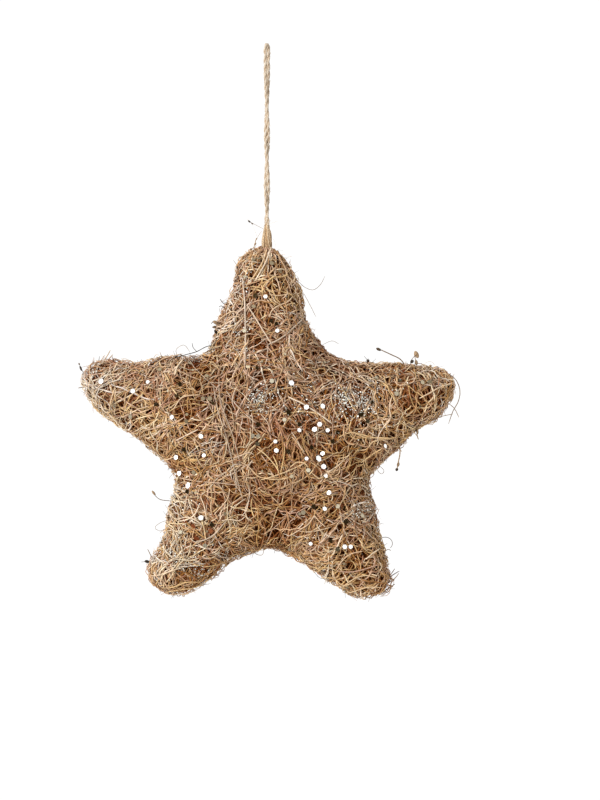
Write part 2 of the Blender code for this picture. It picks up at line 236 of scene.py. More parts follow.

# Dull sequins: a pixel across and down, and how pale the film is, which paints in how bright
# what each one mirrors looks
DULL_SEQUINS = (
    (272, 381, 0.95), (284, 420, 0.85), (252, 436, 0.85), (258, 436, 0.8), (257, 444, 0.1),
    (308, 470, 0.85), (291, 476, 0.55), (337, 506, 0.75), (303, 512, 0.6), (361, 516, 0.7),
    (359, 447, 0.3), (367, 421, 0.1), (115, 405, 0.9), (131, 416, 0.95), (190, 365, 0.5),
    (160, 371, 0.5), (207, 377, 0.5), (210, 399, 0.4), (203, 399, 0.4), (187, 421, 0.4),
    (195, 472, 0.5), (259, 259, 0.45), (254, 261, 0.3), (271, 264, 0.4), (279, 272, 0.35),
    (245, 331, 0.75), (254, 307, 0.5), (396, 394, 0.65), (422, 383, 0.65), (429, 383, 0.25),
    (376, 379, 0.45), (400, 381, 0.05), (182, 532, 0.85), (205, 545, 0.85), (337, 549, 0.15),
)

# Flakes of brown husk between the straws: a pixel across and down, length and width in
# millimetres, angle in degrees, and tone
HUSKS = (
    (185.5, 520.5, 3.2, 2.2, 160, 0.3), (194, 526, 3, 1.8, 150, 0.08),
    (197, 538, 3.4, 2, 165, 0.02), (171, 562, 5, 1.8, 60, 0.2), (153.5, 579, 2.4, 1.4, 110, 0.05),
    (210, 531, 3.4, 2.4, 20, 0.4), (252, 282, 2.8, 1.6, 60, 0.25), (288, 262, 3, 1.4, 120, 0.2),
    (236, 404, 2.6, 1.6, 30, 0.2), (276, 470, 3, 1.8, 90, 0.15), (322, 470, 2.8, 1.6, 40, 0.15),
    (175, 385, 2.6, 1.6, 80, 0.2),
)
RANDOM_HUSKS = 220

# Sequins strewn at random: how many are tried, and how far from the sequins in the solids
STREWN_SEQUINS = 130
SEQUIN_GAP = 2.6 * MM

# Glitter: the specks strewn all over, the specks that the patches share out, and the least and
# the most of a patch's specks' radii
STREWN_SPECKS = 1100
PATCH_SPECKS = 2100
SPECK_RADII = (0.22 * MM, 0.54 * MM)

# Strands that lie on the front: their height over the solid and how far they weave, and then the
# tone, silver, gold and radius in millimetres of each, and the pixels that it passes
STRAND_LEVEL = 1.35 * MM
STRAND_WEAVE = 0.25 * MM
FRONT_STRANDS = (
    (1, 0, 0.4, 0.34, ((272, 247), (269, 254), (265, 264), (261, 272), (256, 281))),
    (0.9, 0, 0.6, 0.32, ((267, 250), (263, 262), (255, 276), (250, 283))),
    (0.9, 0, 0.3, 0.27, ((271, 266), (274, 274), (277, 284), (279, 292))),
    (0.85, 0, 0.4, 0.28, ((277, 259), (283, 268), (286, 276), (295, 286), (302, 294))),
    (0.85, 0, 0.3, 0.25, ((280, 272), (285, 281), (289, 292), (293, 301))),
    (0.9, 0, 0.5, 0.27, ((269, 294), (277, 296), (287, 295), (297, 294), (302, 289))),
    (0.82, 0, 0.3, 0.24, ((249, 306), (256, 302), (263, 301), (271, 305), (274, 308))),
    (0.9, 0, 0.5, 0.27, ((218, 324), (226, 317), (235, 312), (242, 316))),
    (0.9, 0, 0.4, 0.25, ((222, 329), (230, 321), (237, 317), (243, 318))),
    (0.85, 0, 0.4, 0.25, ((232, 342), (234, 332), (239, 324), (245, 318))),
    (0.9, 0, 0.4, 0.27, ((269, 318), (271, 312), (278, 306), (287, 302), (291, 297))),
    (0.95, 0, 0.2, 0.3, ((248, 306), (260, 325), (272, 345))),
    (0.92, 0.45, 0, 0.36, ((244.5, 278), (246, 305), (246, 335), (246, 366))),
    (0.9, 0.5, 0.1, 0.3, ((307, 312), (298, 322), (281, 338), (268, 345))),
    (0.7, 0.7, 0, 0.22, ((214, 385), (218, 410), (228, 440), (235, 470), (243, 500))),
    (0.65, 0.7, 0, 0.2, ((219, 380), (222, 405), (232, 432), (242, 465))),
    (1, 0, 0.3, 0.32, ((288, 397), (300, 403), (318, 414), (331, 424))),
    (0.9, 0.1, 0.2, 0.25, ((233, 403), (234, 395), (238, 387))),
    (0.9, 0, 0.3, 0.25, ((252, 413), (253, 422), (252, 434))),
    (0.9, 0, 0.3, 0.25, ((261, 414), (268, 423), (270, 429))),
    (0.95, 0, 0.2, 0.27, ((291, 432), (297, 441), (300, 447), (304, 452))),
    (0.9, 0.1, 0.2, 0.25, ((234, 458), (242, 455), (251, 453), (254, 455))),
    (0.95, 0, 1, 0.3, ((257, 449), (264, 454), (271, 461), (277, 469), (279, 474))),
    (0.9, 0, 1, 0.28, ((273, 456), (276, 463), (278, 472))),
    (0.85, 0, 1, 0.28, ((285, 446), (284, 456), (282, 465), (280, 474))),
    (0.95, 0, 0.8, 0.3, ((261, 479), (273, 476), (282, 473), (296, 467), (304, 463))),
    (0.9, 0, 0.7, 0.28, ((252, 469), (258, 475), (267, 478), (278, 479), (291, 477))),
    (0.85, 0, 0.5, 0.26, ((242, 462), (249, 466), (256, 473), (261, 477))),
    (0.82, 0.25, 0.2, 0.26, ((172, 474), (182, 477.5), (197, 480.7), (215, 482), (246, 486))),
    (0.9, 0, 0.8, 0.3, ((338, 437), (350, 432), (362, 434), (374, 437), (388, 438))),
    (0.9, 0, 0.7, 0.28, ((356, 450), (366, 448), (372, 441), (379, 439), (389, 438))),
    (0.85, 0, 0.8, 0.3, ((359, 462), (368, 456), (378, 449), (388, 443))),
    (0.85, 0, 0.6, 0.28, ((367, 471), (377, 466), (386, 460), (391, 455))),
    (0.8, 0, 0.6, 0.25, ((346, 452), (348, 444), (352, 438), (356, 433))),
    (1, 0.1, 0.2, 0.27, ((376, 441), (378, 434), (382, 428), (389, 418))),
    (0.9, 0, 0.5, 0.25, ((292, 437), (297, 443), (301, 449), (304, 454))),
    (0.9, 0, 0.7, 0.26, ((290, 467), (297, 462), (304, 463), (310, 471))),
    (0.85, 0, 0.5, 0.25, ((334, 462), (339, 467), (338, 473), (334, 476))),
    (0.95, 0.4, 0.1, 0.25, ((328, 483), (337, 481), (346, 484), (352, 486))),
    (0.9, 0, 0.5, 0.28, ((110, 413), (112, 400), (115, 388))),
    (0.9, 0, 0.4, 0.28, ((145, 380), (153, 369), (163, 361), (177, 358), (187, 356))),
    (0.85, 0, 0.5, 0.25, ((149, 378), (158, 369), (170, 368))),
    (0.85, 0.1, 0.3, 0.25, ((143, 430), (153, 428), (165, 425), (177, 422), (185, 417))),
    (1, 0, 0.3, 0.27, ((177, 440), (185, 436), (193, 432), (199, 429))),
    (0.9, 0, 0.5, 0.25, ((158, 452), (166, 458), (175, 456))),
    (0.9, 0, 0.4, 0.27, ((174, 409), (183, 398), (193, 396), (200, 396))),
    (1, 0, 0.5, 0.36, ((175, 376), (179, 366), (183, 362))),
    (0.85, 0, 0.3, 0.25, ((394, 380), (397, 385), (406, 385), (414, 381), (415, 378))),
    (0.95, 0, 0.5, 0.27, ((419, 398), (429, 393), (438, 388), (449, 384), (454, 382))),
    (0.9, 0, 0.3, 0.27, ((382, 428), (390, 417), (389, 408), (391, 397))),
    (0.9, 0, 0.8, 0.28, ((353, 432), (366, 437), (382, 437), (394, 438))),
    (1, 0, 0.4, 0.34, ((342, 534), (339, 541), (335, 550), (331, 557))),
    (1, 0, 0.5, 0.3, ((365, 559), (371, 554), (378, 549))),
    (0.9, 0, 0.4, 0.27, ((290, 534), (298, 530), (309, 523), (314, 515))),
    (0.9, 0, 0.4, 0.27, ((314, 515), (319, 521), (325, 527))),
    (0.9, 0, 0.4, 0.26, ((297, 529), (307, 531), (317, 530), (330, 527))),
    (0.9, 0, 0.9, 0.3, ((311, 570), (322, 575), (334, 577), (341, 582))),
    (0.9, 0, 0.9, 0.28, ((307, 562), (319, 566), (333, 567), (337, 569))),
    (0.9, 0, 0.6, 0.28, ((334, 569), (337, 578), (343, 583), (353, 582))),
    (0.65, 0.1, 0, 0.28, ((338, 570), (347, 571), (359, 570), (370, 567), (377, 565))),
    (0.9, 0, 0.6, 0.27, ((343, 586), (354, 578), (365, 575), (375, 577))),
    (0.9, 0, 0.6, 0.27, ((346, 591), (357, 589), (370, 586), (381, 586))),
    (0.85, 0, 0.4, 0.26, ((337, 569), (345, 557), (350, 554), (362, 551))),
    (1, 0, 0.4, 0.28, ((171, 513), (178, 519), (187, 517), (195, 519), (202, 525), (200, 531))),
    (0.95, 0, 0.3, 0.27, ((189, 496), (187, 505), (185, 515))),
    (0.95, 0, 0.3, 0.27, ((202, 497), (205, 507), (207, 519))),
    (0.9, 0, 0.4, 0.26, ((215, 513), (221, 507), (229, 496), (230, 488))),
    (0.95, 0, 0.3, 0.26, ((222, 520), (231, 519), (241, 519), (245, 516))),
    (0.9, 0.5, 0.1, 0.26, ((197, 541), (206, 539), (215, 533), (222, 525), (227, 520))),
    (0.95, 0, 0.4, 0.27, ((147, 575), (157, 575), (170, 571), (183, 567))),
    (0.85, 0, 0.9, 0.28, ((166, 590), (181, 588), (194, 585), (205, 579), (215, 572))),
    (0.8, 0, 0.9, 0.26, ((163, 586), (174, 585), (187, 581), (199, 580))),
    (0.9, 0, 0.4, 0.27, ((223, 565), (234, 559), (245, 553), (250, 551))),
    (0.95, 0, 0.6, 0.27, ((174, 516), (171, 507), (175, 497))),
    (1, 0, 0.5, 0.28, ((172, 500), (178, 508), (181, 516), (180, 524))),
    (1, 0, 0.4, 0.27, ((190, 500), (193, 511), (198, 521))),
    (1, 0, 0.5, 0.27, ((165, 520), (172, 528), (180, 532), (189, 533))),
    (1, 0, 0.4, 0.28, ((200, 505), (196, 514), (189, 519), (181, 521))),
    (1, 0, 0.6, 0.26, ((176, 489), (180, 499), (184, 509))),
    (1, 0, 0.5, 0.26, ((163, 590), (174, 592), (186, 591), (196, 587))),
)

# Stems, loops and hairs that stand off the star: tone, silver, radius, how far in front of the
# middle plane they start and end, both in millimetres, and the pixels that each passes
STRAY_STEMS = (
    (0.42, 0, 0.32, 3, 6, ((407, 368), (400, 359), (392, 355), (379, 349))),
    (0.6, 0, 0.22, 4, 5, ((417, 372), (416, 362), (414, 354))),
    (0.3, 0, 0.18, 4, 8, ((411, 370), (411, 361), (418, 353))),
    (0.12, 0, 0.16, 2, 2, ((372, 368), (368, 361), (364, 356))),
    (0.42, 0, 0.25, 0, 3, ((446, 372), (456, 380), (460, 391), (458.5, 401), (453, 411),
                           (448.5, 424))),
    (0.45, 0, 0.21, 2, 4, ((446, 402), (454, 408), (459, 417.5))),
    (0.45, 0, 0.2, 3, 6, ((434, 418.5), (443, 416), (453, 414))),
    (0.45, 0, 0.28, 5, 4, ((426, 372.5), (429.5, 369), (431.7, 365.3))),
    (0.8, 0, 0.09, 5, 4, ((424, 364), (428, 361.8), (433, 362.6), (434.5, 366))),
    (0.6, 0, 0.36, 4, 4, ((394, 441), (399.5, 446), (400, 453), (398.3, 462), (396.8, 470))),
    (0.65, 0, 0.26, 6, 4, ((391, 446), (396, 447), (402, 451.5))),
    (0.7, 0, 0.15, 4, 2, ((397, 446), (395, 450), (393.5, 454))),
    (0.5, 0, 0.34, 6, 4, ((414, 424), (418, 429), (417, 434), (418.5, 439.5))),
    (0.6, 0, 0.2, 6, 4, ((411, 426), (413.5, 431), (417, 436))),
    (0.3, 0.3, 0.15, 4, 2, ((377, 467), (378, 471), (382, 474), (384, 471), (382, 468),
                            (379, 466))),
    (0.75, 0, 0.11, 4, 4, ((399, 443.5), (403, 442.5), (408.5, 443))),
    (0.2, 0.2, 0.24, 6, 4, ((224, 326), (219, 323), (214, 321), (211, 324))),
    (0.16, 0, 0.26, 6, 5, ((224, 330), (219, 328), (213, 327))),
    (0.12, 0, 0.26, 6, 6, ((223, 336), (219, 334), (214, 330))),
    (0.1, 0, 0.24, 6, 6, ((221, 343), (215, 341), (211, 345))),
    (0.14, 0, 0.22, 4, 4, ((228, 305), (223, 303), (220, 299))),
    (0.2, 0, 0.22, 4, 4, ((226, 309), (221, 306), (219, 307))),
    (0.4, 0, 0.14, 4, 6, ((238.8, 270), (236.7, 265), (233.3, 260))),
    (0.3, 0.4, 0.13, 2, 3, ((228, 318), (221, 314), (219, 308))),
    (0.35, 0, 0.22, 2, 8, ((178, 502), (170, 501), (159, 499), (152, 492))),
    (0.3, 0.4, 0.14, 2, 4, ((170, 520), (162, 522), (155, 528), (160, 531), (166, 528))),
    (0.12, 0, 0.14, 2, 6, ((152, 566), (147, 562), (141, 562))),
    (0.4, 0, 0.25, 4, 2, ((157, 562), (152.5, 558), (147.5, 549))),
    (0.6, 0, 0.16, 0, -3, ((252, 547), (256, 554), (262, 555), (264, 547))),
    (0.18, 0.3, 0.2, 2, 4, ((376, 541), (381, 538), (388, 537.5), (392, 541), (392, 546),
                            (390, 548))),
    (0.34, 0.1, 0.22, 2, 3, ((379, 554), (384, 552), (389, 549.5), (391, 551))),
    (0.3, 0, 0.28, 0, 2, ((380, 584), (386, 580), (393, 575), (399.5, 571))),
    (0.42, 0, 0.28, 2, 3, ((381, 588), (388, 583), (395, 578), (399, 573))),
    (0.3, 0, 0.28, -2, 0, ((383, 592), (389, 588), (395, 584))),
    (0.32, 0, 0.24, 1, 5, ((382, 580), (390, 575), (395, 568.5))),
    (0.12, 0, 0.12, 4, 8, ((314, 572), (320, 578), (326, 579))),
    (0.25, 0.5, 0.15, 0, 4, ((298, 281), (306, 288), (313, 290), (320, 285), (325, 276))),
    (0.3, 0.5, 0.14, 4, 8, ((303, 292), (310, 305), (316, 317))),
    (0.12, 0, 0.26, 6, 10, ((216, 346), (209, 346), (196, 352), (185, 355), (175, 358))),
    (0.12, 0, 0.18, 8, 11, ((197, 352), (193, 347), (192, 343))),
    (0.15, 0, 0.14, 0, 3, ((88, 384), (85, 377.3), (82, 370), (79, 363.7))),
    (0.4, 0, 0.25, 0, 2, ((90, 386.5), (84, 387), (78, 388))),
    (0.6, 0, 0.3, 3, 6, ((102, 366), (106, 358), (108.5, 354), (110.5, 350))),
    (0.6, 0, 0.28, 0, 3, ((105, 366), (109, 359), (113, 354.5))),
    (0.65, 0, 0.24, 1, 0, ((98, 366), (101.5, 360), (105, 355))),
    (0.7, 0, 0.15, -2, 0, ((121, 359), (126, 359), (131, 361.5))),
    (0.55, 0, 0.13, 1, 4, ((263.5, 229), (258, 226), (253, 223.5), (247.5, 219.5))),
    (0.85, 0, 0.06, 3, 4, ((252.2, 224), (254, 229), (256.5, 235), (257.5, 237))),
    (0.75, 0, 0.1, 2, 4, ((262, 231), (259.5, 234), (257.5, 237.5))),
    (0.55, 0, 0.26, 4, 5, ((257.5, 237.5), (256, 240), (255, 244), (253.5, 249))),
    (0.85, 0, 0.2, 6, 8, ((254, 247), (248, 252), (242, 256.5), (236.5, 260.5))),
    (0.75, 0, 0.08, 4, 5, ((281, 259), (284, 257.5), (288, 257.2), (292, 256.3))),
    (0.9, 0, 0.07, 4, 4, ((275.5, 247), (274.5, 241), (272.5, 238))),
    (0.9, 0, 0.06, 2, 3, ((269, 224), (272, 223), (278, 221))),
    (0.9, 0, 0.4, 6, 6, ((107, 411), (110, 415), (114, 419), (118, 424))),
    (0.3, 0.4, 0.13, 0, 3, ((180, 360), (176, 350), (184, 345), (190, 352))),
    (0.3, 0.4, 0.13, -2, 1, ((322, 345), (333, 341), (339, 344))),
)

# Buds and seeds on the stems: a pixel across and down, how far in front of the middle plane,
# length and width, all three in millimetres, the angle it points to in degrees, and its tone
BUDS = (
    (378.6, 349.3, 6, 2.8, 1.5, 155, 0.22), (412, 361.5, 6, 2.1, 1.7, 40, 0.1),
    (416.5, 354.5, 6, 4, 2.3, 115, 0.5), (416.3, 362.5, 5, 2.8, 1.6, 100, 0.42),
    (368, 361, 2, 1.9, 1.5, 60, 0.08), (153.7, 493, 8, 3, 1.2, 128, 0.45),
    (147, 561.5, 4, 2.6, 1.6, 170, 0.05), (398.2, 464.5, 4, 2.6, 1.4, 78, 0.42),
    (396.8, 469.5, 4, 1.7, 1.5, 60, 0.12), (215.5, 322.5, 5, 3, 1.8, 150, 0.42),
    (214.5, 327, 5, 2.4, 1.3, 10, 0.3), (215.8, 332, 6, 2.4, 1.4, 125, 0.04),
    (249.3, 221.5, 4, 1.7, 0.9, 145, 0.16), (252.2, 223.6, 4, 1.2, 0.7, 150, 0.3),
    (256.4, 239, 5, 1.4, 0.7, 60, 0.45), (255.2, 244, 5, 1.6, 1, 55, 0.48),
    (251, 249.3, 8, 1.4, 0.9, 30, 0.35), (237.2, 267.5, 6, 1.6, 0.9, 120, 0.25),
    (80.8, 368.4, 1, 2.8, 1.1, 112, 0.14), (79.2, 364, 1, 1.3, 0.8, 112, 0.3),
    (176, 357, 10, 1.8, 1, 200, 0.08), (417.3, 431.5, 4, 2.8, 1.3, 100, 0.26),
)


# Small helpers

def draw_afresh(seed):
    """Starts the chance draws again, so that each piece keeps its own however the others change."""
    global RNG
    RNG = np.random.default_rng(seed)


def unit(vectors):
    """The same directions, each of length 1."""
    return vectors / np.maximum(np.linalg.norm(vectors, axis=-1, keepdims=True), 1e-12)


def from_pixel(across, down, forward=0.0):
    """The x and z of a pixel of the photograph's frame, on a plane so far in front of the star's
    middle plane."""
    nearer = 1.0 - forward / CAMERA_DISTANCE
    across = 0.5 * FRAME_WIDE + (across - 0.5 * FRAME_WIDE) * nearer
    down = 0.5 * FRAME_HIGH + (down - 0.5 * FRAME_HIGH) * nearer
    return (across - ORIGIN_ACROSS) * PIXEL, (ORIGIN_DOWN - down) * PIXEL


def travelled(points):
    """How far along a line each of its points lies."""
    return np.concatenate([[0.0], np.cumsum(np.linalg.norm(np.diff(points, axis=0), axis=1))])


def turned(headings, side, angle):
    """Headings turned towards a side direction, each by its own angle."""
    angle = angle[:, None]
    return headings * np.cos(angle) + side * np.sin(angle)


def either_way(number):
    """A chance sense, 1 or -1, for each of a number of directions."""
    return RNG.choice((-1.0, 1.0), number)[:, None]


def smooth_line(points, step=None, count=None):
    """A curve through all the points (a cubic between each two, with the slope of their
    neighbours), read at even steps along its length."""
    knots = np.array([tuple(p) for p in points], dtype=float)
    spans = np.linalg.norm(np.diff(knots, axis=0), axis=1)
    along = travelled(knots)
    slopes = np.gradient(knots, along, axis=0)
    fine = np.linspace(0.0, along[-1], 40 * len(knots))
    k = np.clip(np.searchsorted(along, fine, side="right") - 1, 0, len(spans) - 1)
    span = spans[k, None]
    t = (fine - along[k])[:, None] / span
    line = (
        (2 * t**3 - 3 * t**2 + 1) * knots[k]
        + (t**3 - 2 * t**2 + t) * span * slopes[k]
        + (3 * t**2 - 2 * t**3) * knots[k + 1]
        + (t**3 - t**2) * span * slopes[k + 1]
    )
    gone = travelled(line)
    count = count or round(gone[-1] / step) + 1
    even = np.linspace(0.0, gone[-1], count)
    return np.stack([np.interp(even, gone, line[:, axis]) for axis in range(3)], axis=1)


def read_all(items, key, wide, kind=float):
    """A mesh's values of one kind, as an array with a row for each of its items."""
    values = np.empty(len(items) * wide, dtype=kind)
    items.foreach_get(key, values)
    return values.reshape(-1, wide)


def write_all(items, key, values, kind=np.float32):
    """Sets a mesh's values of one kind from an array."""
    items.foreach_set(key, np.ascontiguousarray(values, dtype=kind).reshape(-1))


def add_object(name, data):
    """A new object in the scene."""
    obj = bpy.data.objects.new(name, data)
    bpy.context.scene.collection.objects.link(obj)
    return obj


def on_root(name, mesh):
    """A mesh's object, fixed to the root body."""
    obj = add_object(name, mesh)
    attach(obj, "root")
    return obj


def add_piece(name, points, faces, uv, finish, slot="straw", tints=None, smooth=True):
    """A mesh from its points and a list of face arrays of equal-sided faces, with the corners'
    places on the colour map (or None) and the points' tints where they are given."""
    mesh = bpy.data.meshes.new(name)
    sizes = np.concatenate([np.full(len(f), f.shape[1]) for f in faces])
    corners = np.concatenate([f.reshape(-1) for f in faces])
    mesh.vertices.add(len(points))
    write_all(mesh.vertices, "co", points)
    mesh.loops.add(len(corners))
    write_all(mesh.loops, "vertex_index", corners, np.int32)
    mesh.polygons.add(len(sizes))
    write_all(mesh.polygons, "loop_start", np.cumsum(sizes) - sizes, np.int32)
    mesh.update(calc_edges=True)
    if smooth:
        mesh.shade_smooth()
    else:
        mesh.shade_flat()
    if uv is not None:
        write_all(mesh.uv_layers.new(name="OFBake").data, "uv", uv)
    if tints is not None:
        write_all(mesh.attributes.new("tint", "FLOAT_COLOR", "POINT").data, "color", tints)
    mesh.materials.append(finish)
    return on_root(name, mesh)


# The star's solid as a surface to lay straw on

class StarSurface:
    """The height over the star's solid at every point of an even grid round it: how far the point
    stands over the plane of the nearest of the solid's triangles. Between the grid's points the
    heights, and their slopes, which point outwards, are mixed in proportion."""

    def __init__(self, node, cell, margin):
        mesh = node.data
        self.centres = read_all(mesh.polygons, "center", 3)
        self.outward = read_all(mesh.polygons, "normal", 3)
        areas = read_all(mesh.polygons, "area", 1).reshape(-1)
        self.share = areas / areas.sum()
        corners = read_all(mesh.loops, "vertex_index", 1, np.int32).reshape(-1, 3)
        self.triangles = read_all(mesh.vertices, "co", 3)[corners]
        self.cell = cell
        self.low = self.centres.min(axis=0) - margin
        high = self.centres.max(axis=0) + margin
        self.shape = np.ceil((high - self.low) / cell).astype(int) + 1
        axes = [self.low[k] + cell * np.arange(self.shape[k]) for k in range(3)]
        grid = np.stack(np.meshgrid(*axes, indexing="ij"), axis=-1).reshape(-1, 3)
        heights = np.concatenate([self.plane_heights(part) for part in np.array_split(grid, 60)])
        heights = heights.reshape(self.shape)
        for axis in range(3):
            before = np.roll(heights, 1, axis)
            after = np.roll(heights, -1, axis)
            heights = 0.5 * heights + 0.25 * (before + after)
        slopes = np.stack(np.gradient(heights, cell), axis=-1)
        self.values = np.concatenate([heights[..., None], slopes], axis=-1)

    def plane_heights(self, points):
        """How far points stand over the plane of the triangle whose middle is the nearest."""
        near = (self.centres**2).sum(axis=1)[None, :] - 2.0 * points @ self.centres.T
        nearest = near.argmin(axis=1)
        return ((points - self.centres[nearest]) * self.outward[nearest]).sum(axis=1)

    def read(self, points):
        """The height over the solid and the outward direction at each point."""
        at = np.clip((points - self.low) / self.cell, 0.0, self.shape - 1.001)
        base = at.astype(int)
        part = at - base
        total = 0.0
        for corner in itertools.product((0, 1), repeat=3):
            weight = np.prod(np.where(np.array(corner) == 1, part, 1.0 - part), axis=1)
            i, j, k = (base + np.array(corner)).T
            total = total + self.values[i, j, k] * weight[:, None]
        return total[:, 0], unit(total[:, 1:])

    def front(self, pixels):
        """Where the lines of sight through pixels meet the solid's front, found by moving back and
        forth along them by a share of the height over the solid."""
        across, down = np.array(pixels, dtype=float).T
        forward = np.full(len(across), SIGHT_START)
        for _ in range(SIGHT_STEPS):
            x, z = from_pixel(across, down, forward)
            points = np.stack([x, -forward, z], axis=1)
            height = np.clip(self.read(points)[0], -2.0 * MM, 4.0 * MM)
            forward = forward - SIGHT_SHARE * height
            forward = np.maximum(forward, -5.0 * MM)
        return points

    def scatter(self, count, rim=0.0):
        """Points spread evenly over the solid's triangles, or drawn to the outline as seen from
        the front by choosing among four times as many."""
        if rim > 0.0:
            tries = self.scatter(4 * count)
            facing = np.abs(self.read(tries)[1][:, 1])
            return tries[np.argsort(rim * facing + (1.0 - rim) * RNG.random(len(tries)))[:count]]
        chosen = RNG.choice(len(self.share), count, p=self.share)
        u, v = RNG.random((2, count, 1))
        u, v = np.where(u + v > 1.0, 1.0 - u, u), np.where(u + v > 1.0, 1.0 - v, v)
        a, b, c = (self.triangles[chosen, corner] for corner in range(3))
        return a + u * (b - a) + v * (c - a)


STAR = StarSurface(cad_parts["star_body"], GRID_CELL, GRID_MARGIN)
SEQUIN_NAMES = sorted(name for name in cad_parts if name.startswith("sequin_"))
SEQUIN_MIDDLES = np.array([np.mean(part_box(name), axis=0) for name in SEQUIN_NAMES])
DULL_PLACES = STAR.front([place[:2] for place in DULL_SEQUINS])


# Node trees

def feed(tree, made, **inputs):
    """Sets a shader node's inputs, by name, or by number after an i: each to a value, or to
    another node's output."""
    for key, value in inputs.items():
        numbered = key[0] == "i" and key[1:].isdigit()
        socket = made.inputs[int(key[1:]) if numbered else key.replace("_", " ")]
        if isinstance(value, bpy.types.NodeSocket):
            tree.links.new(value, socket)
        elif socket.type == "RGBA" and len(value) == 3:
            socket.default_value = (*value, 1.0)
        else:
            socket.default_value = value
    return made


def node(tree, kind, settings=None, **inputs):
    """A shader node with its settings and its inputs."""
    made = tree.nodes.new(kind)
    for key, value in (settings or {}).items():
        setattr(made, key, value)
    return feed(tree, made, **inputs)


def ramp(tree, value, stops):
    """A value's colour between stops, each a place and a colour."""
    made = node(tree, "ShaderNodeValToRGB", i0=value)
    elements = made.color_ramp.elements
    while len(elements) < len(stops):
        elements.new(0.5)
    for element, (place, colour) in zip(elements, stops):
        element.position = place
        element.color = (*colour, 1.0)
    return made.outputs["Color"]


def mix(tree, share, first, second):
    """The first colour mixed with a share of the second."""
    return node(tree, "ShaderNodeMix", {"data_type": "RGBA"}, i0=share, i6=first,
                i7=second).outputs[2]


def maths(tree, operation, *values):
    """The output of an arithmetic node on two or three values."""
    inputs = {f"i{number}": value for number, value in enumerate(values)}
    return node(tree, "ShaderNodeMath", {"operation": operation}, **inputs).outputs[0]


def rescaled(tree, value, *limits):
    """A value from the range of the first two limits, brought to that of the other two."""
    inputs = {f"i{number}": limit for number, limit in enumerate(limits, 1)}
    return node(tree, "ShaderNodeMapRange", i0=value, **inputs).outputs[0]


def noise(tree, place, scale, detail=2.0):
    """Cloudy noise of a scale, read from a place."""
    made = node(tree, "ShaderNodeTexNoise", Vector=place, Scale=scale, Detail=detail)
    return made.outputs["Fac"]


def dry_fibre_group():
    """Shared by all plant fibre: blotches and fine flecks that darken a colour and change how
    rough it is, read from a place. It puts out the colour, the roughness and a height."""
    group = bpy.data.node_groups.new("Dry fibre", "ShaderNodeTree")
    for way, name, kind in (
            ("INPUT", "Place", "Vector"), ("INPUT", "Colour", "Color"),
            ("INPUT", "Blotch Scale", "Float"), ("INPUT", "Fleck Scale", "Float"),
            ("INPUT", "Strength", "Float"), ("OUTPUT", "Colour", "Color"),
            ("OUTPUT", "Roughness", "Float"), ("OUTPUT", "Height", "Float")):
        group.interface.new_socket(name, in_out=way, socket_type="NodeSocket" + kind)
    given = group.nodes.new("NodeGroupInput").outputs
    blotch = noise(group, given["Place"], given["Blotch Scale"], 3.0)
    fleck = noise(group, given["Place"], given["Fleck Scale"])
    both = maths(group, "MULTIPLY_ADD", fleck, 1.2, blotch)
    shaded = node(group, "ShaderNodeVectorMath", {"operation": "SCALE"}, i0=given["Colour"],
                  Scale=rescaled(group, both, 0.75, 1.45, 0.63, 1.23))
    colour = mix(group, given["Strength"], given["Colour"], shaded.outputs[0])
    feed(group, group.nodes.new("NodeGroupOutput"), Colour=colour, Height=fleck,
         Roughness=rescaled(group, fleck, 0.3, 0.7, 0.50, 0.80))
    return group


def new_material(name):
    """A material, its node tree, its shader and the place that its patterns are read from."""
    made = bpy.data.materials.new(name)
    made.use_nodes = True
    tree = made.node_tree
    place = node(tree, "ShaderNodeTexCoord").outputs["Object"]
    return made, tree, tree.nodes["Principled BSDF"], place


def tint_parts(tree):
    """The tint attribute's four parts: tone, how deep the straw lies (for painted shade), share of
    silver and share of gold.
    """
    tint = node(tree, "ShaderNodeAttribute", {"attribute_name": "tint"})
    parts = node(tree, "ShaderNodeSeparateColor", i0=tint.outputs["Color"]).outputs
    return parts[0], parts[1], parts[2], tint.outputs["Alpha"]


def add_grain(tree, shader, dry_fibre, place, colour, blotch, fleck, strength):
    """Passes a colour through the dry fibre group to the shader, and puts out the group's
    outputs."""
    grain = node(tree, "ShaderNodeGroup", {"node_tree": dry_fibre}, Place=place, Colour=colour,
                 Blotch_Scale=blotch, Fleck_Scale=fleck, Strength=strength).outputs
    feed(tree, shader, Base_Color=grain["Colour"], Roughness=grain["Roughness"])
    return grain


def add_bump(tree, shader, height, strength, distance):
    """Bumps on what the shader covers, from a height."""
    bump = node(tree, "ShaderNodeBump", Height=height, Strength=strength, Distance=distance)
    feed(tree, shader, Normal=bump.outputs[0])


# Colours, most of them as stops from dark to pale

TAN = (
    (0.00, (0.146, 0.034, 0.009)),
    (0.25, (0.330, 0.124, 0.052)),
    (0.50, (0.522, 0.287, 0.184)),
    (0.75, (0.692, 0.468, 0.345)),
    (0.92, (0.812, 0.662, 0.540)),
    (1.00, (0.888, 0.808, 0.742)),
)
GOLD = (
    (0.00, (0.140, 0.038, 0.008)),
    (0.30, (0.368, 0.158, 0.038)),
    (0.60, (0.620, 0.378, 0.150)),
    (0.85, (0.826, 0.586, 0.292)),
    (1.00, (0.907, 0.742, 0.495)),
)
# Painted shade: the dark red that deep straw is mixed towards, for the shade deep in the straw
SUNK_SHADE = (0.272, 0.075, 0.014)
SILVERED = (0.55, 0.49, 0.395)
JUTE = ((0.30, (0.46, 0.352, 0.252)), (0.46, (0.60, 0.510, 0.403)), (0.70, (0.685, 0.620, 0.524)))
# Painted shade in the groove where the twine's two plies meet
JUTE_GROOVE_SHADE = (0.38, 0.260, 0.155)
JUTE_HAIR = (
    (0.00, (0.200, 0.095, 0.040)),
    (0.50, (0.620, 0.420, 0.235)),
    (1.00, (0.880, 0.740, 0.540)),
)
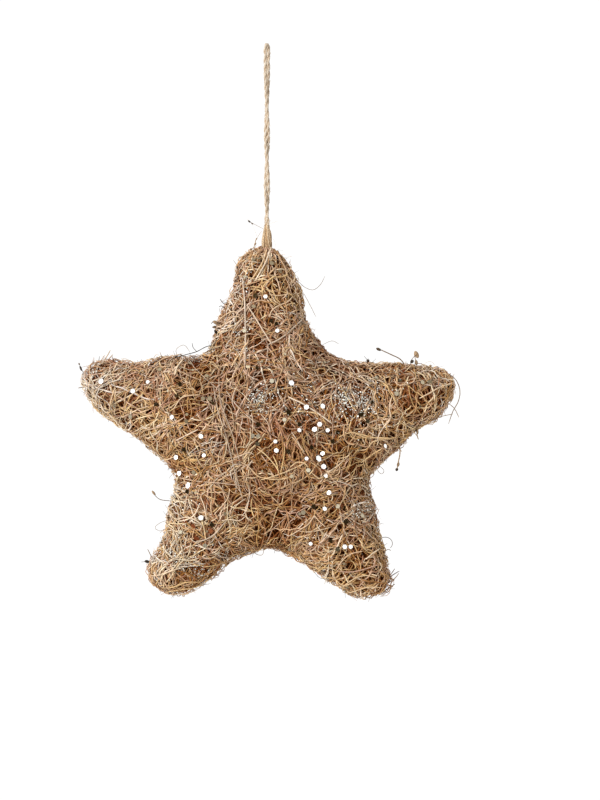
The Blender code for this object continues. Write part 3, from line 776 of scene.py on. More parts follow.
# Stems, seed heads and barbs: grey brown, nearly black at the darkest
STEM = (
    (0.00, (0.010, 0.008, 0.006)),
    (0.25, (0.098, 0.066, 0.042)),
    (0.50, (0.400, 0.275, 0.165)),
    (0.75, (0.640, 0.470, 0.300)),
    (1.00, (0.850, 0.730, 0.560)),
)
# Painted shade: the packed core's dark streaked brown stands for the shade deep under the straw
PACKED_SHADE = ((0.0, (0.060, 0.014, 0.002)), (1.0, (0.190, 0.050, 0.009)))
FILM = ((0.3, (0.90, 0.89, 0.86)), (0.7, (0.97, 0.96, 0.94)))
GLITTER = ((0.3, (0.76, 0.77, 0.70)), (0.7, (0.94, 0.94, 0.87)))
# Dulled film, its own dull colour and painted reflection: the dark stops paint a dark mirrored view,
# the pale ones a bright one
DULL_FILM_REFLECTION = (
    (0.12, (0.045, 0.036, 0.018)),
    (0.62, (0.340, 0.275, 0.175)),
    (1.00, (0.620, 0.565, 0.430)),
)
FLOOR = ((0.3, (0.86, 0.86, 0.86)), (0.7, (0.88, 0.88, 0.88)))


def straw_material(dry_fibre):
    """Dry straw. The tint attribute holds each straw's tone, how deep it lies, its share of silver
    coating and, in its alpha, its share of gold. Deep straw is painted darker and redder as shade,
    and has less shine."""
    made, tree, shader, place = new_material("Dry straw")
    tone, depth_shade, silver, gold = tint_parts(tree)
    dry = mix(tree, gold, ramp(tree, tone, TAN), ramp(tree, tone, GOLD))
    coated = mix(tree, silver, mix(tree, depth_shade, dry, SUNK_SHADE), SILVERED)
    grain = add_grain(tree, shader, dry_fibre, place, coated, 170.0, 560.0, 0.8)
    feed(tree, shader, Specular_IOR_Level=rescaled(tree, depth_shade, 0.0, 0.35, 0.12, 0.0))
    add_bump(tree, shader, grain["Height"], 0.15, 0.0001)
    return made


def fibre_material(name, dry_fibre, tones, blotch, fleck, strength, shine):
    """Thin fibres and stems. The tint attribute holds each one's tone."""
    made, tree, shader, place = new_material(name)
    colour = ramp(tree, tint_parts(tree)[0], tones)
    add_grain(tree, shader, dry_fibre, place, colour, blotch, fleck, strength)
    feed(tree, shader, Specular_IOR_Level=shine)
    return made


def packed_material(dry_fibre):
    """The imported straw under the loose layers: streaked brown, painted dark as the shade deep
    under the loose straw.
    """
    made, tree, shader, place = new_material("Packed straw")
    wave = node(tree, "ShaderNodeTexWave", {"wave_type": "BANDS", "bands_direction": "DIAGONAL"},
                Vector=place, Scale=160.0, Distortion=14.0, Detail=3.0, Detail_Scale=2.0)
    streaks = wave.outputs["Fac"]
    add_grain(tree, shader, dry_fibre, place, ramp(tree, streaks, PACKED_SHADE), 120.0, 900.0, 0.8)
    feed(tree, shader, Specular_IOR_Level=0.0)
    add_bump(tree, shader, streaks, 0.6, 0.0004)
    return made


def jute_material(dry_fibre):
    """Raw jute: pale tan fibres that run along the plies, with painted shade where two plies meet.
    The tint attribute's tone holds how deep in the groove between the plies a point lies."""
    made, tree, shader, place = new_material("Raw jute")
    stretch = node(tree, "ShaderNodeMapping", i0=place, Rotation=(0.0, 0.30, 0.0),
                   Scale=(1.0, 1.0, 0.14))
    strands = noise(tree, stretch.outputs[0], 1900.0)
    groove_shaded = mix(tree, tint_parts(tree)[0], ramp(tree, strands, JUTE), JUTE_GROOVE_SHADE)
    grain = add_grain(tree, shader, dry_fibre, place, groove_shaded, 150.0, 1500.0, 0.25)
    rougher = maths(tree, "ADD", grain["Roughness"], 0.2)
    feed(tree, shader, Roughness=rougher)
    add_bump(tree, shader, strands, 0.35, 0.0002)
    return made


def film_material(name, tones, cloud_size, smoothest, roughest, dulled=False):
    """Silvered plastic film, with faint clouds in its shine and colour. The tint attribute of
    dulled film holds how pale each sequin is: the film's own dull colour with a painted reflection."""
    made, tree, shader, place = new_material(name)
    clouds = noise(tree, place, cloud_size)
    tone = maths(tree, "MULTIPLY_ADD", clouds, 0.24, tint_parts(tree)[0]) if dulled else clouds
    feed(tree, shader, Base_Color=ramp(tree, tone, tones), Metallic=1.0,
         Roughness=rescaled(tree, clouds, 0.3, 0.7, smoothest, roughest))
    return made


# The camera, and then the twine

def add_camera():
    """Level with the star and square to it. The lens is the one that fits the photograph's whole
    frame, at the star's middle plane, into the camera's height."""
    middle_x, middle_z = from_pixel(0.5 * FRAME_WIDE, 0.5 * FRAME_HIGH)
    data = bpy.data.cameras.new("Camera")
    data.sensor_fit = "VERTICAL"
    data.sensor_height = SENSOR_HIGH
    data.lens = SENSOR_HIGH * CAMERA_DISTANCE / (FRAME_HIGH * PIXEL)
    data.clip_start = 0.01
    obj = add_object("Camera", data)
    obj.location = (middle_x, -CAMERA_DISTANCE, middle_z)
    obj.rotation_euler = (0.5 * math.pi, 0.0, 0.0)
    bpy.context.scene.camera = obj


def leg_point(height, apart, facing, side):
    """A point of one leg's middle line, from its height and the pair's spacing and turn."""
    angle = math.radians(facing)
    reach = 0.5 * apart * side
    return (reach * math.cos(angle), reach * math.sin(angle), height)


def loop_route():
    """Points up one leg, over the eye and down the other leg."""
    top = 0.5 * TWINE
    down = []
    for step in range(1, EYE_STEPS + 1):
        angle = 0.5 * math.pi * step / EYE_STEPS
        drop = EYE_RADIUS * (1.0 - math.cos(angle))
        down.append((top - drop, 2.0 * EYE_RADIUS * math.sin(angle), EYE_FACING))
    down += [(height * MM, apart * MM, facing) for height, apart, facing in OPEN_STATIONS]
    wound = (TWINE + LEG_GAP) * PRESSED
    down += [(height * MM, wound, facing) for height, facing in WOUND_STATIONS]
    up_first = [leg_point(*station, -1.0) for station in reversed(down)]
    return up_first + [(0.0, 0.0, top)] + [leg_point(*station, 1.0) for station in down]


def two_ply(name, line, finish):
    """Two-ply twine along a line. Across it the outline is that of two overlapping round plies:
    at an angle a from their common line, offset x cos a + the root of radius squared less
    (offset x sin a) squared, for whichever ply reaches further. The pair turns once in every lay
    length, and a few waves of uneven spinning swell and shrink it."""
    tangent = unit(np.gradient(line, axis=0))
    gone = travelled(line)
    across = unit(np.cross(tangent, carried_side(tangent)))
    up = np.cross(tangent, across)
    angle = math.tau * np.arange(PLY_SIDES) / PLY_SIDES
    from_pair = angle[None, :] - (math.tau * gone / LAY_LENGTH)[:, None]
    reach = PLY_OFFSET * np.abs(np.cos(from_pair)) + np.sqrt(
        PLY_RADIUS**2 - (PLY_OFFSET * np.sin(from_pair))**2)
    # Painted shade: how deep in the groove between the plies each point lies, which darkens the jute
    # there
    groove = 1.0 - np.clip((reach / (PLY_OFFSET + PLY_RADIUS) - 0.55) / 0.3, 0.0, 1.0)
    along = gone[:, None] / MM
    uneven = np.sin(0.9 * along + 3.0 * angle) + np.sin(1.7 * along - 2.0 * angle + 1.0)
    uneven = uneven + np.sin(0.45 * along + 2.0)
    reach = reach * (1.0 + FRAY * uneven / 3.0)
    ring = np.cos(angle)[:, None] * across[:, None] + np.sin(angle)[:, None] * up[:, None]
    points = (line[:, None] + reach[..., None] * ring).reshape(-1, 3)
    faces = tube_faces(1, len(line), PLY_SIDES)
    tints = tinted(groove.reshape(-1), 0.0, 0.0, 0.0, 1, 1)
    return add_piece(name, points, faces, None, finish, "jute", tints)


def carried_side(tangent):
    """A side direction at each point of a line, carried along it with the least turning."""
    side = np.empty_like(tangent)
    current = np.array([1.0, 0.0, 0.0]) if abs(tangent[0, 0]) < 0.9 else np.array([0.0, 1.0, 0.0])
    for k, direction in enumerate(tangent):
        current = current - direction * (current @ direction)
        current = current / np.linalg.norm(current)
        side[k] = current
    return side


def tube_faces(number, rows, sides):
    """The four-sided faces round a number of tubes, whose points are listed ring by ring, and the
    many-sided faces that close their ends."""
    first = (np.arange(number) * rows * sides)[:, None, None]
    k = first + np.arange(rows - 1)[None, :, None] * sides
    j = np.arange(sides)[None, None, :]
    following = (j + 1) % sides
    quads = np.stack([k + j, k + following, k + sides + following, k + sides + j], axis=-1)
    ends = first[:, :, 0] + np.arange(sides)[None, ::-1]
    caps = np.stack([ends, ends[:, ::-1] + (rows - 1) * sides], axis=1)
    return [quads.reshape(-1, 4), caps.reshape(-1, sides)]


# Straws, stems and hairs: thin tubes along many paths at once

def tubes(paths, radii, flat=0.0, sides=3):
    """Tubes along paths, all of the same number of points. At each point of a path, corners stand
    at even angles round it, in the plane of the star's outward direction and the path's side, and
    flat tubes are drawn out sideways and pressed down. Puts out the points, the faces, and the
    corners' places on a map where each tube has a square of its own, with its side unrolled in the
    middle and its two ends beside it."""
    number, count = paths.shape[:2]
    tangents = unit(np.gradient(paths, axis=1))
    outward = STAR.read(paths.reshape(-1, 3))[1].reshape(paths.shape)
    across = unit(np.cross(tangents, outward) + 1e-6)
    up = np.cross(across, tangents)
    angle = math.tau * np.arange(sides) / sides
    bearing = angle[None, :] + RNG.uniform(0.0, math.tau, number)[:, None]
    flat = np.broadcast_to(flat, number)[:, None]
    wide = (np.cos(bearing) * (1.0 + flat))[:, None, :, None]
    high = (np.sin(bearing) * (1.0 - 0.6 * flat))[:, None, :, None]
    ring = wide * across[..., None, :] + high * up[..., None, :]
    points = paths[..., None, :] + radii[..., None, None] * ring

    # The map: the square's own column and row, then the share of it, side by side and end by end
    cells = math.ceil(math.sqrt(number))
    column, row = np.arange(number) % cells, np.arange(number) // cells
    k = np.arange(count)[:, None] / (count - 1)
    j = np.arange(sides + 1)[None, :] / sides
    u, v = np.broadcast_arrays(0.14 + 0.72 * k, 0.08 + 0.84 * j)
    u = column[:, None, None] + u
    v = row[:, None, None] + v
    side_map = np.stack([
        np.stack([u[:, :-1, :-1], u[:, :-1, 1:], u[:, 1:, 1:], u[:, 1:, :-1]], axis=-1),
        np.stack([v[:, :-1, :-1], v[:, :-1, 1:], v[:, 1:, 1:], v[:, 1:, :-1]], axis=-1)], axis=-1)
    spot = np.stack([0.035 * np.cos(angle), 0.3 * np.sin(angle)], axis=-1)
    end_map = np.stack([(0.05, 0.5) + spot, (0.95, 0.5) + spot])
    end_map = np.stack([column, row], axis=-1)[:, None, None, :] + end_map
    uv = np.concatenate([side_map.reshape(-1, 2), end_map.reshape(-1, 2)]) / cells
    return points.reshape(-1, 3), tube_faces(number, count, sides), uv


def taper(radii, count, ends=0.55):
    """The radius at every point of every tube: full in the middle, thinner at both ends."""
    share = np.linspace(-1.0, 1.0, count)
    full = ends + (1.0 - ends) * np.sqrt(np.clip(1.0 - share**4, 0.0, 1.0))
    return radii[:, None] * full[None, :]


def tinted(tone, depth_shade, silver, gold, count, sides=3):
    """The tint of every point of every tube."""
    tint = np.stack(np.broadcast_arrays(tone, depth_shade, silver, gold), axis=-1)
    return np.repeat(tint, count * sides, axis=0)


def creep(points, headings, lengths, curls, level, weave, count, lift=0.0, kinks=0.10,
          wiggle=30.0):
    """Paths that creep over the star. At each step the heading turns within the surface by the
    straw's curl, a wave of its own and a chance kink, the point moves on along it and is set to
    the straw's height over the solid, which weaves up and down in a wave and rises by lift x the
    share of the way squared. Straws duck under the sequins, but for a few that cross over."""
    number = len(points)
    over = RNG.random(number) < CROSSING_SHARE
    paths = np.empty((number, count, 3))
    step = lengths / (count - 1)
    phase = RNG.uniform(0.0, math.tau, number)
    rate = step * math.tau / RNG.uniform(*WEAVE_WAVES, number)
    sway = RNG.uniform(0.0, math.tau, number)
    sway_rate = step * math.tau / RNG.uniform(*SWAY_WAVES, number)
    sway_size = RNG.uniform(0.2, 1.8, number) * wiggle
    for k in range(count):
        share = k / (count - 1)
        height, outward = STAR.read(points)
        wanted = level + weave * np.sin(phase + rate * k) + lift * share**2
        wanted = np.where(over, wanted, np.minimum(wanted, under_sequins(points)))
        points = points + outward * (wanted - height)[:, None]
        paths[:, k] = points
        headings = unit(headings - outward * (headings * outward).sum(axis=1)[:, None])
        turn = (curls + sway_size * np.sin(sway + sway_rate * k)) * step
        turn = turn + RNG.normal(0.0, kinks, number)
        headings = turned(headings, np.cross(outward, headings), turn)
        points = points + headings * step[:, None]
    return paths


def under_sequins(points):
    """The most height over the solid that straw at a point may have: a little under the solid
    beneath the nearest sequin, and rising like a cone's side further off."""
    nearest = np.full(len(points), 1.0)
    for middles, further in ((SEQUIN_MIDDLES, 0.0), (DULL_PLACES, DULL_FURTHER)):
        for middle in middles:
            nearest = np.minimum(nearest, np.linalg.norm(points - middle, axis=1) + further)
    return UNDER_SEQUIN + SEQUIN_SLOPE * np.maximum(nearest - SEQUIN_REACH, 0.0)


def hank_headings(points, followed):
    """Headings along the surface: at random, but on the front a share of the hanks follow the
    listed runs near them, and round the outline most follow it, in either sense."""
    number = len(points)
    outward = STAR.read(points)[1]
    headings = unit(np.cross(outward, unit(RNG.normal(size=points.shape))))
    runs = np.array(HANK_RUNS, dtype=float)
    x, z = from_pixel(runs[:, 0], runs[:, 1], FRONT_PLANE)
    gone = np.hypot(points[:, :1] - x, points[:, 2:] - z)
    angle = np.radians(runs[gone.argmin(axis=1), 2] + RNG.normal(0.0, HANK_RUN_SPREAD, number))
    wanted = np.stack([np.cos(angle), np.zeros(number), np.sin(angle)], axis=1)
    wanted = wanted * either_way(number)
    in_reach = (gone.min(axis=1) < HANK_RUN_REACH * PIXEL) & (outward[:, 1] < -0.4)
    follows = in_reach & (RNG.random(number) < followed)
    headings = np.where(follows[:, None], wanted, headings)
    along = unit(np.cross(outward, (0.0, 1.0, 0.0)))
    along = turned(along, np.cross(outward, along), RNG.normal(0.0, RIM_SPREAD, number))
    along = along * either_way(number)
    at_rim = (np.abs(outward[:, 1]) < RIM_FACING) & (RNG.random(number) < RIM_SHARE)
    return np.where(at_rim[:, None], along, headings)


def in_patches(points, patches):
    """How far each point lies in the listed patches of the front, from 0 to 1."""
    total = np.zeros(len(points))
    for across, down, radius in patches:
        x, z = from_pixel(across, down, FRONT_PLANE)
        gone = np.hypot(points[:, 0] - x, points[:, 2] - z) / (radius * PIXEL)
        total = np.maximum(total, np.where(points[:, 1] < 0.0, np.exp(-gone**2), 0.0))
    return total


def round_hollows(paths):
    """Bends paths round the listed hollows of the front: a point at a distance d from a hollow of
    radius r moves straight away from it, across the line of sight, by exp(-d^2 / r^2) of its full
    push."""
    for across, down, radius in HOLLOWS:
        x, z = from_pixel(across, down, FRONT_PLANE)
        away = paths[..., ::2] - (x, z)
        gone = np.maximum(np.linalg.norm(away, axis=-1, keepdims=True), 0.01 * MM)
        reach = radius * PIXEL
        push = HOLLOW_PUSH * reach * np.exp(-(gone / reach)**2) * (paths[..., 1:2] < 0.0)
        paths[..., ::2] += away / gone * push
    return paths


def drift(points, size):
    """A slow wandering value from -1 to 1 over the star: two crossed waves, each bent by the
    other's direction."""
    x, y, z = points.T / size
    return np.sin(x + 1.3 * np.sin(0.8 * z + 0.7 * y)) * np.sin(z + 1.1 * np.sin(0.7 * x - y) + 0.6)


def coats(points, plain=0.02, patchy=0.42):
    """Each straw's share of silver coating and of gold, by where it lies."""
    number = len(points)
    grey = in_patches(points, GREY_PATCHES)
    coated = RNG.random(number) < plain + patchy * grey
    silver = np.where(coated, RNG.uniform(0.22, 0.60, number), 0.17 * grey)
    gold = RNG.normal(0.38, 0.34, number) + 0.52 * in_patches(points, GOLD_PATCHES) - 0.05 * grey
    return silver, np.clip(gold + 0.14 * drift(points, 7.0 * MM), 0.0, 1.0)


def straw_layer(name, number, count, level, weave, shortest, longest, thinnest, thickest, darkest,
                palest, finish):
    """One layer of loose straw, much of it in hanks of a few straws that run side by side and
    nearly the same way, each hank a little over or under its layer's height. Some straws' ends
    rise from the outer layers. On the front the outer layers bend round the listed hollows, and
    the inner ones are painted darker there as the shade in the hollows."""
    outer, inner = level > -0.5, level < -1.0
    sizes = np.where(RNG.random(number) < LONE_SHARE, 1, RNG.integers(*HANK_SIZES, number))
    of_hank = np.repeat(np.arange(number), sizes)[:number]
    hanks = of_hank[-1] + 1
    starts = STAR.scatter(hanks)
    headings = hank_headings(starts, FOLLOWING_SHARE)
    curls = RNG.normal(0.0, HANK_CURL, hanks)
    curls = curls * np.where(RNG.random(hanks) < CURLY_SHARE, CURLY, 1.0)
    height = np.clip(RNG.normal(0.0, HANK_RISE, hanks), -MOST_RISE, MOST_RISE) * MM
    spread = RNG.uniform(*HANK_WIDTHS, hanks)
    outward = STAR.read(starts)[1]
    side = np.cross(outward, headings)[of_hank]
    beside = (RNG.normal(0.0, 1.0, number) * spread[of_hank])[:, None]
    ahead = RNG.uniform(-HANK_AHEAD, HANK_AHEAD, number)[:, None]
    lengths = RNG.uniform(shortest * MM, longest * MM, number)
    back = 0.5 * lengths[:, None]
    points = starts[of_hank] + side * beside + headings[of_hank] * (ahead - back)
    heading = turned(headings[of_hank], side, RNG.normal(0.0, STRAW_TURN, number))
    curl = curls[of_hank] + RNG.normal(0.0, STRAW_CURL, number)
    rising = RNG.random(number) < RAISED_SHARE
    raised = np.where(rising, RNG.uniform(*RAISED, number), 0.0) * MM
    paths = creep(points, heading, lengths, curl, level * MM + height[of_hank], weave * MM, count,
                  lift=raised if level > 0.0 else 0.0)
    paths = paths if inner else round_hollows(paths)
    radii = taper(RNG.uniform(thinnest * MM, thickest * MM, number), count)
    middles = paths[:, count // 2]
    silver, gold = coats(middles)
    silver = silver * outer
    # Painted shade: the inner layers get less gold, so their straw is redder, as in shade
    gold = gold * (0.4 if inner else 1.0)
    tone = RNG.uniform(darkest, palest, hanks)[of_hank] + RNG.normal(0.0, 0.09, number)
    # Painted shade and painted light: the straw's tone is taken down in the shaded patches and up in
    # the pale, lit ones
    dark = in_patches(middles, SHADED_PATCHES)
    tone = tone + PALER_LIT * in_patches(middles, PALE_LIT_PATCHES) - SHADED_DARKER * dark
    tone = np.clip(tone, 0.0, 1.0)
    # Painted shade: the deeper the layer, the more its straw is mixed towards the dark red of shade
    depth_shade = np.clip(0.08 - 0.27 * level, 0.0, 0.75)
    kept = RNG.random(number) > (LEFT_OUT * dark if outer else 0.0)
    laid = tubes(paths[kept], radii[kept], flat=RNG.uniform(0.0, 0.7, kept.sum()))
    tints = tinted(tone[kept], depth_shade, silver[kept], gold[kept], count)
    # Painted shade: in and round the hollows the inner straws are taken down to the tan's darkest
    # tone
    if inner:
        hollow_shade_patches = [(across, down, HOLLOW_SHADE * radius) for across, down, radius in HOLLOWS]
        hollow = in_patches(paths[kept].reshape(-1, 3), hollow_shade_patches)
        tints[:, :2] *= 1.0 - np.repeat(hollow, 3)[:, None]
    return add_piece(name, *laid, finish, tints=tints)


def loose_straws(name, number, count, lengths, curls, level, thickness, tones, finish,
                 silvered=0.05, lift=(0.0, 0.0), rim=0.0):
    """Single straws laid over the star. The lengths, thickness, tones and lift are the least and
    the most in millimetres or shares, and the curls are a spread."""
    starts = STAR.scatter(number, rim)
    long = RNG.uniform(*lengths, number) * MM
    raised = RNG.uniform(*lift, number) * np.clip(long / (9.0 * MM), 0.3, 1.0) * MM
    paths = creep(starts, hank_headings(starts, 0.5), long, RNG.normal(0.0, curls, number),
                  level * MM, 0.35 * MM, count, lift=raised, kinks=0.06)
    paths = round_hollows(paths)
    radii = taper(RNG.uniform(*thickness, number) * MM, count)
    silver, gold = coats(starts, plain=silvered)
    laid = tubes(paths, radii, flat=RNG.uniform(0.0, 0.6, number))
    tints = tinted(RNG.uniform(*tones, number), 0.0, silver, gold, count)
    return add_piece(name, *laid, finish, tints=tints)


def gathered_straws(finish):
    """Straws that run down from the cone of gathered ends and over the end of the top arm."""
    number, count = 70, 12
    bearing = RNG.uniform(0.0, math.tau, number)
    points = np.stack([GATHERED_RADIUS * np.cos(bearing), GATHERED_RADIUS * np.sin(bearing),
                       np.full(number, GATHERED_HEIGHT)], axis=1)
    headings = np.stack([np.cos(bearing), np.sin(bearing), np.full(number, -0.3)], axis=1)
    lengths = RNG.uniform(7.0 * MM, 24.0 * MM, number)
    paths = creep(points, unit(headings), lengths, RNG.normal(0.0, 18.0, number), 0.65 * MM,
                  0.4 * MM, count, kinks=0.08, wiggle=22.0)
    laid = tubes(paths, taper(RNG.uniform(0.18 * MM, 0.34 * MM, number), count), flat=0.3)
    tints = tinted(RNG.uniform(0.45, 1.0, number), 0.0, 0.0, RNG.uniform(0.2, 0.9, number), count)
    return add_piece("gathered_straws", *laid, finish, tints=tints)


def gathered_ends(finish):
    """The cone under the loop: the twine's opened ends and straw, run down side by side with an
    uneven twist, their distance from the middle line set by the cone's radius at each height. The
    lower ends splay over the straw."""
    number, count = 150, 12
    heights, widths = np.array(CONE).T * MM
    share = np.linspace(0.0, 1.0, count)[None, :]
    top = RNG.uniform(-94.0 * MM, -88.0 * MM, number)[:, None]
    bottom = RNG.uniform(-106.0 * MM, -100.0 * MM, number)[:, None]
    z = top + (bottom - top) * share
    inside = RNG.uniform(0.5, 1.0, number)[:, None]
    uneven = 1.0 + 0.10 * np.sin(5.0 * share + RNG.uniform(0.0, math.tau, number)[:, None])
    reach = np.interp(-z, -heights, widths) * inside * uneven
    bearing = RNG.uniform(0.0, math.tau, number)[:, None]
    bearing = bearing + RNG.normal(0.6, 0.4, number)[:, None] * share
    paths = np.stack([reach * np.cos(bearing), reach * np.sin(bearing), z], axis=-1)
    laid = tubes(paths, taper(RNG.uniform(0.14 * MM, 0.30 * MM, number), count, 0.35), flat=0.3)
    # Painted shade: ends that lie nearer the cone's middle line are darker
    tone = np.clip(RNG.normal(0.64, 0.14, number) - 0.3 * (1.0 - inside[:, 0]), 0.05, 1.0)
    tints = tinted(tone, 0.0, 0.0, 0.3, count)
    return add_piece("gathered_ends", *laid, finish, "jute", tints)


def twine_fuzz(line, finish):
    """Short hairs that stand off the twine, more of them at its eye and its ends. Each leans along
    the twine and bends away from it by the share of its way to the power of 1.5."""
    number, at_ends, at_eye, count = 460, 60, 30, 5
    ends = RNG.choice((1, -2), at_ends)
    ends = ends + RNG.integers(0, 30, at_ends) * RNG.choice((1, -1), at_ends)
    chosen = np.concatenate([RNG.integers(2, len(line) - 2, number - at_ends - at_eye),
                             len(line) // 2 + RNG.integers(-14, 15, at_eye),
                             np.clip(ends % len(line), 2, len(line) - 3)])
    along = unit(line[chosen + 1] - line[chosen - 1]) * either_way(number)
    off = unit(np.cross(along, unit(RNG.normal(size=(number, 3)))))
    share = np.linspace(0.0, 1.0, count)[None, :, None]
    long = RNG.uniform(0.8 * MM, 2.6 * MM, number)[:, None, None]
    bend = RNG.uniform(0.2, 1.0, number)[:, None, None]
    paths = (line[chosen][:, None] + 0.62 * MM * off[:, None] + share * long * along[:, None]
             + bend * share**1.5 * 0.55 * long * off[:, None])
    laid = tubes(paths, taper(RNG.uniform(0.035 * MM, 0.075 * MM, number), count))
    tints = tinted(RNG.uniform(0.5, 1.0, number), 0.0, 0.0, 0.1, count)
    return add_piece("twine_fuzz", *laid, finish, "jute", tints)


def barbs(name, number, thickness, tones, finish):
    """Short ends that stand off the straw, most of them round the outline: each starts a little
    inside, leans out by a chance share, and bends by a chance curl."""
    count = 5
    starts = STAR.scatter(number, 0.9)
    outward = STAR.read(starts)[1]
    along = unit(np.cross(outward, unit(RNG.normal(size=starts.shape))))
    lean = RNG.uniform(0.35, 1.3, number)[:, None, None]
    bend = RNG.normal(0.0, 0.35, number)[:, None, None]
    side = np.cross(outward, along)[:, None]
    share = np.linspace(0.0, 1.0, count)[None, :, None]
    long = RNG.uniform(1.6 * MM, 5.0 * MM, number)[:, None, None]
    direction = unit(along[:, None] + lean * outward[:, None])
    paths = starts[:, None] + long * (share * direction + bend * share**2 * side)
    radii = RNG.uniform(*thickness, number)[:, None] * MM * np.linspace(1.0, 0.4, count)[None, :]
    laid = tubes(paths, radii, flat=0.2)
    tints = tinted(RNG.uniform(*tones, number), 0.0, 0.0, RNG.uniform(0.0, 0.6, number), count)
    return add_piece(name, *laid, finish, tints=tints)


def front_strands(finish):
    """The strands that show best on the front, each along its own pixels, just over the straw and
    under the sequins."""
    count = 22
    paths = []
    for _, _, _, _, pixels in FRONT_STRANDS:
        flat = smooth_line([(across, down, 0.0) for across, down in pixels], count=count)
        points = STAR.front(flat[:, :2])
        height, outward = STAR.read(points)
        wave = np.sin(np.linspace(0.0, 9.0, count) + pixels[0][0])
        level = np.minimum(STRAND_LEVEL + STRAND_WEAVE * wave, under_sequins(points))
        paths.append(points + outward * (level - height)[:, None])
    tone, silver, gold, radius = np.array([strand[:4] for strand in FRONT_STRANDS]).T
    laid = tubes(np.array(paths), taper(radius * MM, count), flat=0.3)
    tints = tinted(0.94 * tone, 0.0, silver, gold, count)
    return add_piece("front_strands", *laid, finish, tints=tints)


def stray_stems(finish):
    """Stems, loops and hairs that stand off the star, each along its own pixels."""
    count = 14
    paths = []
    for _, _, _, start, end, pixels in STRAY_STEMS:
        forward = np.linspace(start * MM, end * MM, len(pixels))
        across, down = np.array(pixels, dtype=float).T
        x, z = from_pixel(across, down, forward)
        paths.append(smooth_line(np.stack([x, -forward, z], axis=1), count=count))
    tone, silver, radius = np.array([stem[:3] for stem in STRAY_STEMS]).T
    laid = tubes(np.array(paths), taper(radius * MM, count, 0.45))
    tints = tinted(tone + 0.3 * silver, 0.0, 0.0, 0.0, count)
    return add_piece("stray_stems", *laid, finish, tints=tints)


def stem_buds(finish):
    """Buds and seeds, each turned the way that its stem runs: balls whose girth is the sine of the
    angle from their long axis to the power of 1.3, which draws them out to points."""
    rings, sides = 7, 8
    polar = np.linspace(0.0, math.pi, rings + 1)[1:-1]
    angle = math.tau * np.arange(sides) / sides
    height = np.cos(polar)
    girth = np.sin(polar)**1.3
    around = np.stack([np.repeat(height, sides), (girth[:, None] * np.cos(angle)).reshape(-1),
                       (girth[:, None] * np.sin(angle)).reshape(-1)], axis=1)
    shape = np.concatenate([[[1.0, 0.0, 0.0]], around, [[-1.0, 0.0, 0.0]]])
    last = len(shape) - 1
    j = np.arange(sides)
    following = (j + 1) % sides
    far = last - sides
    caps = np.concatenate([np.stack([0 * j, 1 + j, 1 + following], axis=1),
                           np.stack([0 * j + last, far + following, far + j], axis=1)])
    band = tube_faces(1, rings - 1, sides)[0][:, ::-1] + 1
    points, triangles, quads, tints = [], [], [], []
    for number, (across, down, forward, length, width, turn, tone) in enumerate(BUDS):
        x, z = from_pixel(across, down, forward * MM)
        along = math.radians(turn)
        size = shape * (0.5 * length * MM, 0.5 * width * MM, 0.5 * width * MM)
        points.append(np.stack([
            x + size[:, 0] * math.cos(along) - size[:, 2] * math.sin(along),
            -forward * MM + size[:, 1],
            z + size[:, 0] * math.sin(along) + size[:, 2] * math.cos(along)], axis=1))
        triangles.append(caps + number * len(shape))
        quads.append(band + number * len(shape))
        tints.append(np.tile((tone, 0.0, 0.0, 0.1), (len(shape), 1)))
    faces = [np.concatenate(triangles), np.concatenate(quads)]
    return add_piece("stem_buds", np.concatenate(points), faces, None, finish,
                     tints=np.concatenate(tints))


def packed_core(finish):
    """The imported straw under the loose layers: the solid's own surface, set in to the core's
    level by its height and outward direction at each point."""
    shape = bmesh.new()
    shape.from_mesh(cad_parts["star_body"].data)
    bmesh.ops.remove_doubles(shape, verts=shape.verts, dist=0.00001)
    mesh = bpy.data.meshes.new("packed_core")
    shape.to_mesh(mesh)
    shape.free()
    points = read_all(mesh.vertices, "co", 3)
    height, outward = STAR.read(points)
    write_all(mesh.vertices, "co", points + outward * (CORE_LEVEL - height)[:, None])
    mesh.materials.clear()
    mesh.materials.append(finish)
    mesh.shade_smooth()
    obj = on_root("packed_core", mesh)
    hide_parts("star_body")
    return obj


# Sequins and glitter

def plates(middles, facings, radii, thickness, sides, side=None, shares=(1.0,)):
    """Flat many-sided plates: at each middle, two rings of corners round the facing direction,
    half the thickness before and behind it. The plates' widths are shares of their radii."""
    number = len(middles)
    side = unit(RNG.normal(size=facings.shape)) if side is None else side
    up = unit(np.cross(facings, side))
    side = np.cross(up, facings)
    angle = math.tau * np.arange(sides) / sides
    wide = np.broadcast_to(shares, number)[:, None, None] * np.sin(angle)[:, None]
    ring = np.cos(angle)[:, None] * side[:, None] + wide * up[:, None]
    front = middles[:, None] + radii[:, None, None] * ring + 0.5 * thickness * facings[:, None]
    back = front - thickness * facings[:, None]
    points = np.stack([front, back], axis=1).reshape(-1, 3)
    first = (np.arange(number) * 2 * sides)[:, None]
    j = np.arange(sides)[None, :]
    following = (j + 1) % sides
    caps = np.concatenate([first + j, first + sides + j[:, ::-1]])
    rims = np.stack([first + following, first + j, first + sides + j, first + sides + following],
                    axis=-1).reshape(-1, 4)
    return points, [caps, rims], None


